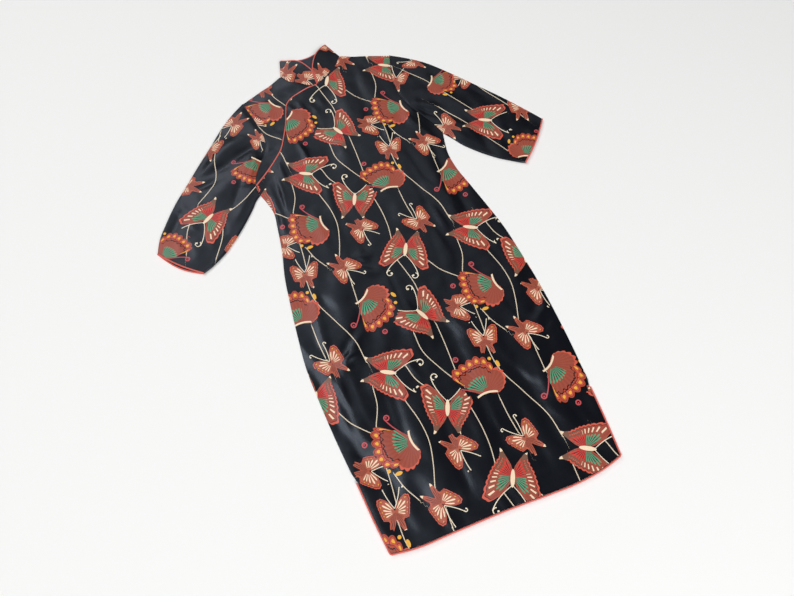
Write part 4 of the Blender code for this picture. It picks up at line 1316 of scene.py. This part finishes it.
rise_share = np.linspace(0.0, 1.0, 9 * FINE + 1)[:, None, None]
collar_points = (1 - rise_share) * collar_line[None, :, :3] + rise_share * collar_line[None, :, 3:]
collar_points = collar_points[:, ::-1]
collar_plan = collar_points[..., :2]
outer = shifted(collar_points, GAP / 2 + PLY)
inner = shifted(collar_points, -GAP / 2 - PLY)[:, ::-1]
collar = cloth(
    "collar_outer", outer, collar_plan, COLLAR_PRINT, COLLAR_CORDS, PRINTED, SATIN_BACK, wall=PLY
)
facing = cloth("collar_inner", inner, collar_plan[:, ::-1], None, None, FACING, FACING, wall=PLY)


# %% [markdown]
# ## Piping
# Piping is a bias strip wrapped round a cord and caught in the seam. Here it is a curve with a
# round section, along the edge that it trims.

# %% One piece of piping
def piping(name, points, diameter, cyclic=False):
    """Round satin piping along a path."""
    curve = bpy.data.curves.new(name, "CURVE")
    curve.dimensions = "3D"
    curve.bevel_depth = diameter / 2
    curve.bevel_resolution = 4
    curve.use_fill_caps = not cyclic
    line = curve.splines.new("POLY")
    line.points.add(len(points) - 1)
    for knot, point in zip(line.points, points):
        knot.co = (*point, 1.0)
    line.use_cyclic_u = cyclic
    line.use_smooth = True
    curve.materials.append(PIPING_SATIN)
    print(name, "is", millimetres(np.vstack([points, points[:1]]) if cyclic else points), "mm long")
    return placed(name, curve)


# %% Placket and hems
def placket_height(x, y):
    """Middle of the placket's piping, on the underlap."""
    neck = NECK_LIFT * fade(distance_to(neck_line, x, y), LIFT_REACH)
    return FRONT_FLOOR + BACK_TOP + 2 * GAP + PIPING / 2 + neck


placket_path = np.column_stack([placket_line, placket_height(*placket_line.T)])
placket_piping = piping("placket_bias", placket_path, PIPING)


HEM_BEND = 0.003
SLIT_PIPING_STEPS = 30
HEM_PIPING_STEPS = 120


def hem_path(height):
    """Up one slit, along the hem and up the other slit."""
    bend = HEM_BEND
    rise = np.linspace(PIPING / 2 + bend, SLIT, SLIT_PIPING_STEPS)
    right = side_path(1, rise, PIPING / 2)
    left = side_path(2, rise, PIPING / 2)
    x = np.linspace(right[0, 0] + bend, left[0, 0] - bend, HEM_PIPING_STEPS)
    along = np.column_stack([x, np.interp(x, hem_curve[:, 0], hem_curve[:, 1]) + PIPING / 2])
    turns = [math.radians(a) for a in (22.5, 45.0, 67.5)]
    right_turn = [right[0] + bend * np.array([1 - math.cos(a), -math.sin(a)]) for a in turns]
    left_turn = [left[0] + bend * np.array([math.cos(a) - 1, -math.sin(a)]) for a in turns[::-1]]
    plan = np.vstack([right[::-1], right_turn, along, left_turn, left])
    return np.column_stack([plan, np.full(len(plan), height)])


front_hem = piping("front_hem_bias", hem_path(HIGH_PIPING), PIPING)
back_hem = piping("back_hem_bias", hem_path(LOW_PIPING), PIPING)


# %% Cuffs
def cuff_path(ring, cuff_way):
    """Closed loop just past the sleeve's edge."""
    upper = ring[: ARMHOLE_STEPS + 1]
    lower = ring[ARMHOLE_STEPS + 1 + TURN_STEPS : 2 * ARMHOLE_STEPS + 2 + TURN_STEPS]
    beyond = np.array([*cuff_way, 0.0]) * (PIPING / 2 + GAP)
    high = upper[1:-1] + beyond
    low = lower[1:-1] + beyond
    high[:, 2] = CUFF_RISE - BACK_TOP / 2
    low[:, 2] = LOW_PIPING
    middle = (high[0, 2] + LOW_PIPING) / 2
    radius = (high[0, 2] - LOW_PIPING) / 2
    away = upper[-1] - upper[0]
    away[2] = 0.0
    away /= np.linalg.norm(away)
    up = np.array([0.0, 0.0, 1.0])

    def turn(corner, direction, first):
        centre = np.array([corner[0], corner[1], middle]) + beyond
        angles = [math.radians(18.0 * step) for step in range(11)]
        return [centre + radius * (direction * math.sin(a) + first * up * math.cos(a)) for a in angles]

    return np.vstack([high, turn(upper[-1], away, 1.0), low, turn(upper[0], -away, -1.0)])


right_cuff = piping("right_cuff_bias", cuff_path(right_rings[-1], right_way), PIPING, cyclic=True)
left_cuff = piping("left_cuff_bias", cuff_path(left_rings[-1], left_way), PIPING, cyclic=True)


# %% Collar piping
def collar_path():
    """Up one centre front edge, round the top and down the other."""
    reach = COLLAR_PIPING / 2 + GAP
    base = collar_line[:, :3]
    top = collar_line[:, 3:]
    along = np.gradient(top, axis=0)
    along /= np.linalg.norm(along, axis=1)[:, None]
    up = top - base
    up -= (up * along).sum(axis=1)[:, None] * along
    rim = top + reach * up / np.linalg.norm(up, axis=1)[:, None]
    share = np.linspace(0.0, 1.0, 12)[:, None]
    edges = []
    for end, side in ((0, reach), (-1, -reach)):
        edge = (1 - share) * base[end] + share * top[end]
        edge[:, 0] += side
        edges.append(edge)
    return np.vstack([edges[0], rim[2:-2], edges[1][::-1]])


collar_bias = piping("collar_bias", collar_path(), COLLAR_PIPING)

# %% [markdown]
# ## What each piece stands for
# Every piece rides on the dress's one body and replaces its solid. The area of each sheet is also
# worked out and printed, as a measure of the cloth's stretch.

# %% Riding and replacing. The finish named in each row is not used
STANDS_FOR = [
    (back, "back", "satin"),
    (front, "front", "satin"),
    (underlap, "right_front_underlap", "satin"),
    (right_sleeve, "right_sleeve", "satin"),
    (left_sleeve, "left_sleeve", "satin"),
    (collar, "collar", "satin"),
    (facing, "collar_facing", "collar_facing"),
    (placket_piping, "placket_piping", "piping"),
    (front_hem, "front_hem_piping", "piping"),
    (back_hem, "back_hem_piping", "piping"),
    (right_cuff, "right_cuff_piping", "piping"),
    (left_cuff, "left_cuff_piping", "piping"),
    (collar_bias, "collar_piping", "piping"),
]
for piece, node, finish_name in STANDS_FOR:
    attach(piece, "root")
    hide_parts(node)


# %% Cut sizes of the sheets
def sheet_area(points):
    """Area of a grid of points, in square metres."""
    a = points[:-1, 1:] - points[:-1, :-1]
    b = points[1:, :-1] - points[:-1, :-1]
    return float(np.linalg.norm(np.cross(a, b), axis=2).sum())


back_area = sheet_area(back_points)
front_area = sheet_area(front_points)
lap_area = sheet_area(lap_points)
right_area = sheet_area(right_rings)
left_area = sheet_area(left_rings)
collar_area = sheet_area(collar_points)
areas = (back_area, front_area, lap_area, right_area, left_area, collar_area)
print("areas, m2:", [round(area, 3) for area in areas])

# %% [markdown]
# ## Floor, light and camera
# The dress lies on a plain pale floor in soft daylight. Satin shows what it mirrors, so the lamps
# are placed by what each part of the cloth reflects. A window and a far window lie just outside the
# mirror direction, so only the folds that tilt towards them shine. A weak ceiling panel gives the
# shoulders an even sheen, and a large panel behind the camera lights the room and its colours. The
# camera looks down steeply from beside the wearer's right shoulder. Its place and its lens were
# worked out from the way the repeat of the print shrinks towards the top of the photo.

# %% Floor
FLOOR_SIZE = 60.0
FLOOR_GAP = 0.0002
floor_finish = Finish("pale_floor", Base_Color=(*ink(244, 244, 243), 1.0), Roughness=0.75)
bpy.ops.mesh.primitive_plane_add(size=FLOOR_SIZE, location=(0.0, 0.0, -FLOOR_GAP))
floor = bpy.context.object
floor.name = "floor"
floor.data.materials.append(floor_finish.made)


# %% Light. Columns: name, place, width and length in metres, power in watts, way of the length
LAMPS = [
    ("window", (-2.30, 0.90, 4.7), (1.3, 4.6), 115.0, (0.44, -0.90, 0.0)),
    ("far window", (-1.60, 4.90, 4.7), (1.3, 3.6), 55.0, (0.90, 0.42, 0.0)),
    ("ceiling", (0.6, 3.4, 4.9), (3.4, 3.6), 24.0, (1.0, 0.0, 0.0)),
    ("room", (0.8, -4.4, 4.2), (3.0, 3.0), 268.0, (1.0, 0.0, 0.0)),
]
DAYLIGHT = 0.10


def lamp(name, place, size, power, along):
    """A panel of light over the dress, with its long side in the given direction."""
    data = bpy.data.lights.new(name, "AREA")
    data.shape = "RECTANGLE"
    data.size, data.size_y = size
    data.energy = power
    away = Vector(place).normalized()
    length = (Vector(along) - away * away.dot(Vector(along))).normalized()
    turned = Matrix((length.cross(away), length, away)).transposed()
    placed(name, data).matrix_world = Matrix.Translation(place) @ turned.to_4x4()


for row in LAMPS:
    lamp(*row)
world = bpy.data.worlds.new("daylight")
world.use_nodes = True
background = world.node_tree.nodes["Background"]
background.inputs["Color"].default_value = (1.0, 1.0, 1.0, 1.0)
background.inputs["Strength"].default_value = DAYLIGHT
bpy.context.scene.world = world

# %% Camera, from where it stands above the plan and the way it looks
CAMERA_PLACE = Vector((-0.1807, -0.0293, 1.0798))
CAMERA_RIGHT = Vector((0.9291, -0.3685, -0.0313))
CAMERA_DOWN = Vector((-0.3484, -0.8437, -0.4083))
CAMERA_AHEAD = Vector((0.1240, 0.3902, -0.9123))
LENS_IN_PIXELS = 597.0
PICTURE = (794, 596)
camera_data = bpy.data.cameras.new("camera")
camera_data.sensor_width = 36.0
camera_data.lens = LENS_IN_PIXELS / PICTURE[0] * camera_data.sensor_width
camera = placed("camera", camera_data)
turn = Matrix((CAMERA_RIGHT, -CAMERA_DOWN, -CAMERA_AHEAD)).transposed()
camera.matrix_world = Matrix.Translation(CAMERA_PLACE + HOME) @ turn.to_4x4()
bpy.context.scene.camera = camera
bpy.context.scene.view_settings.view_transform = "Standard"

# %% Bring the scene up to date
bpy.context.view_layer.update()
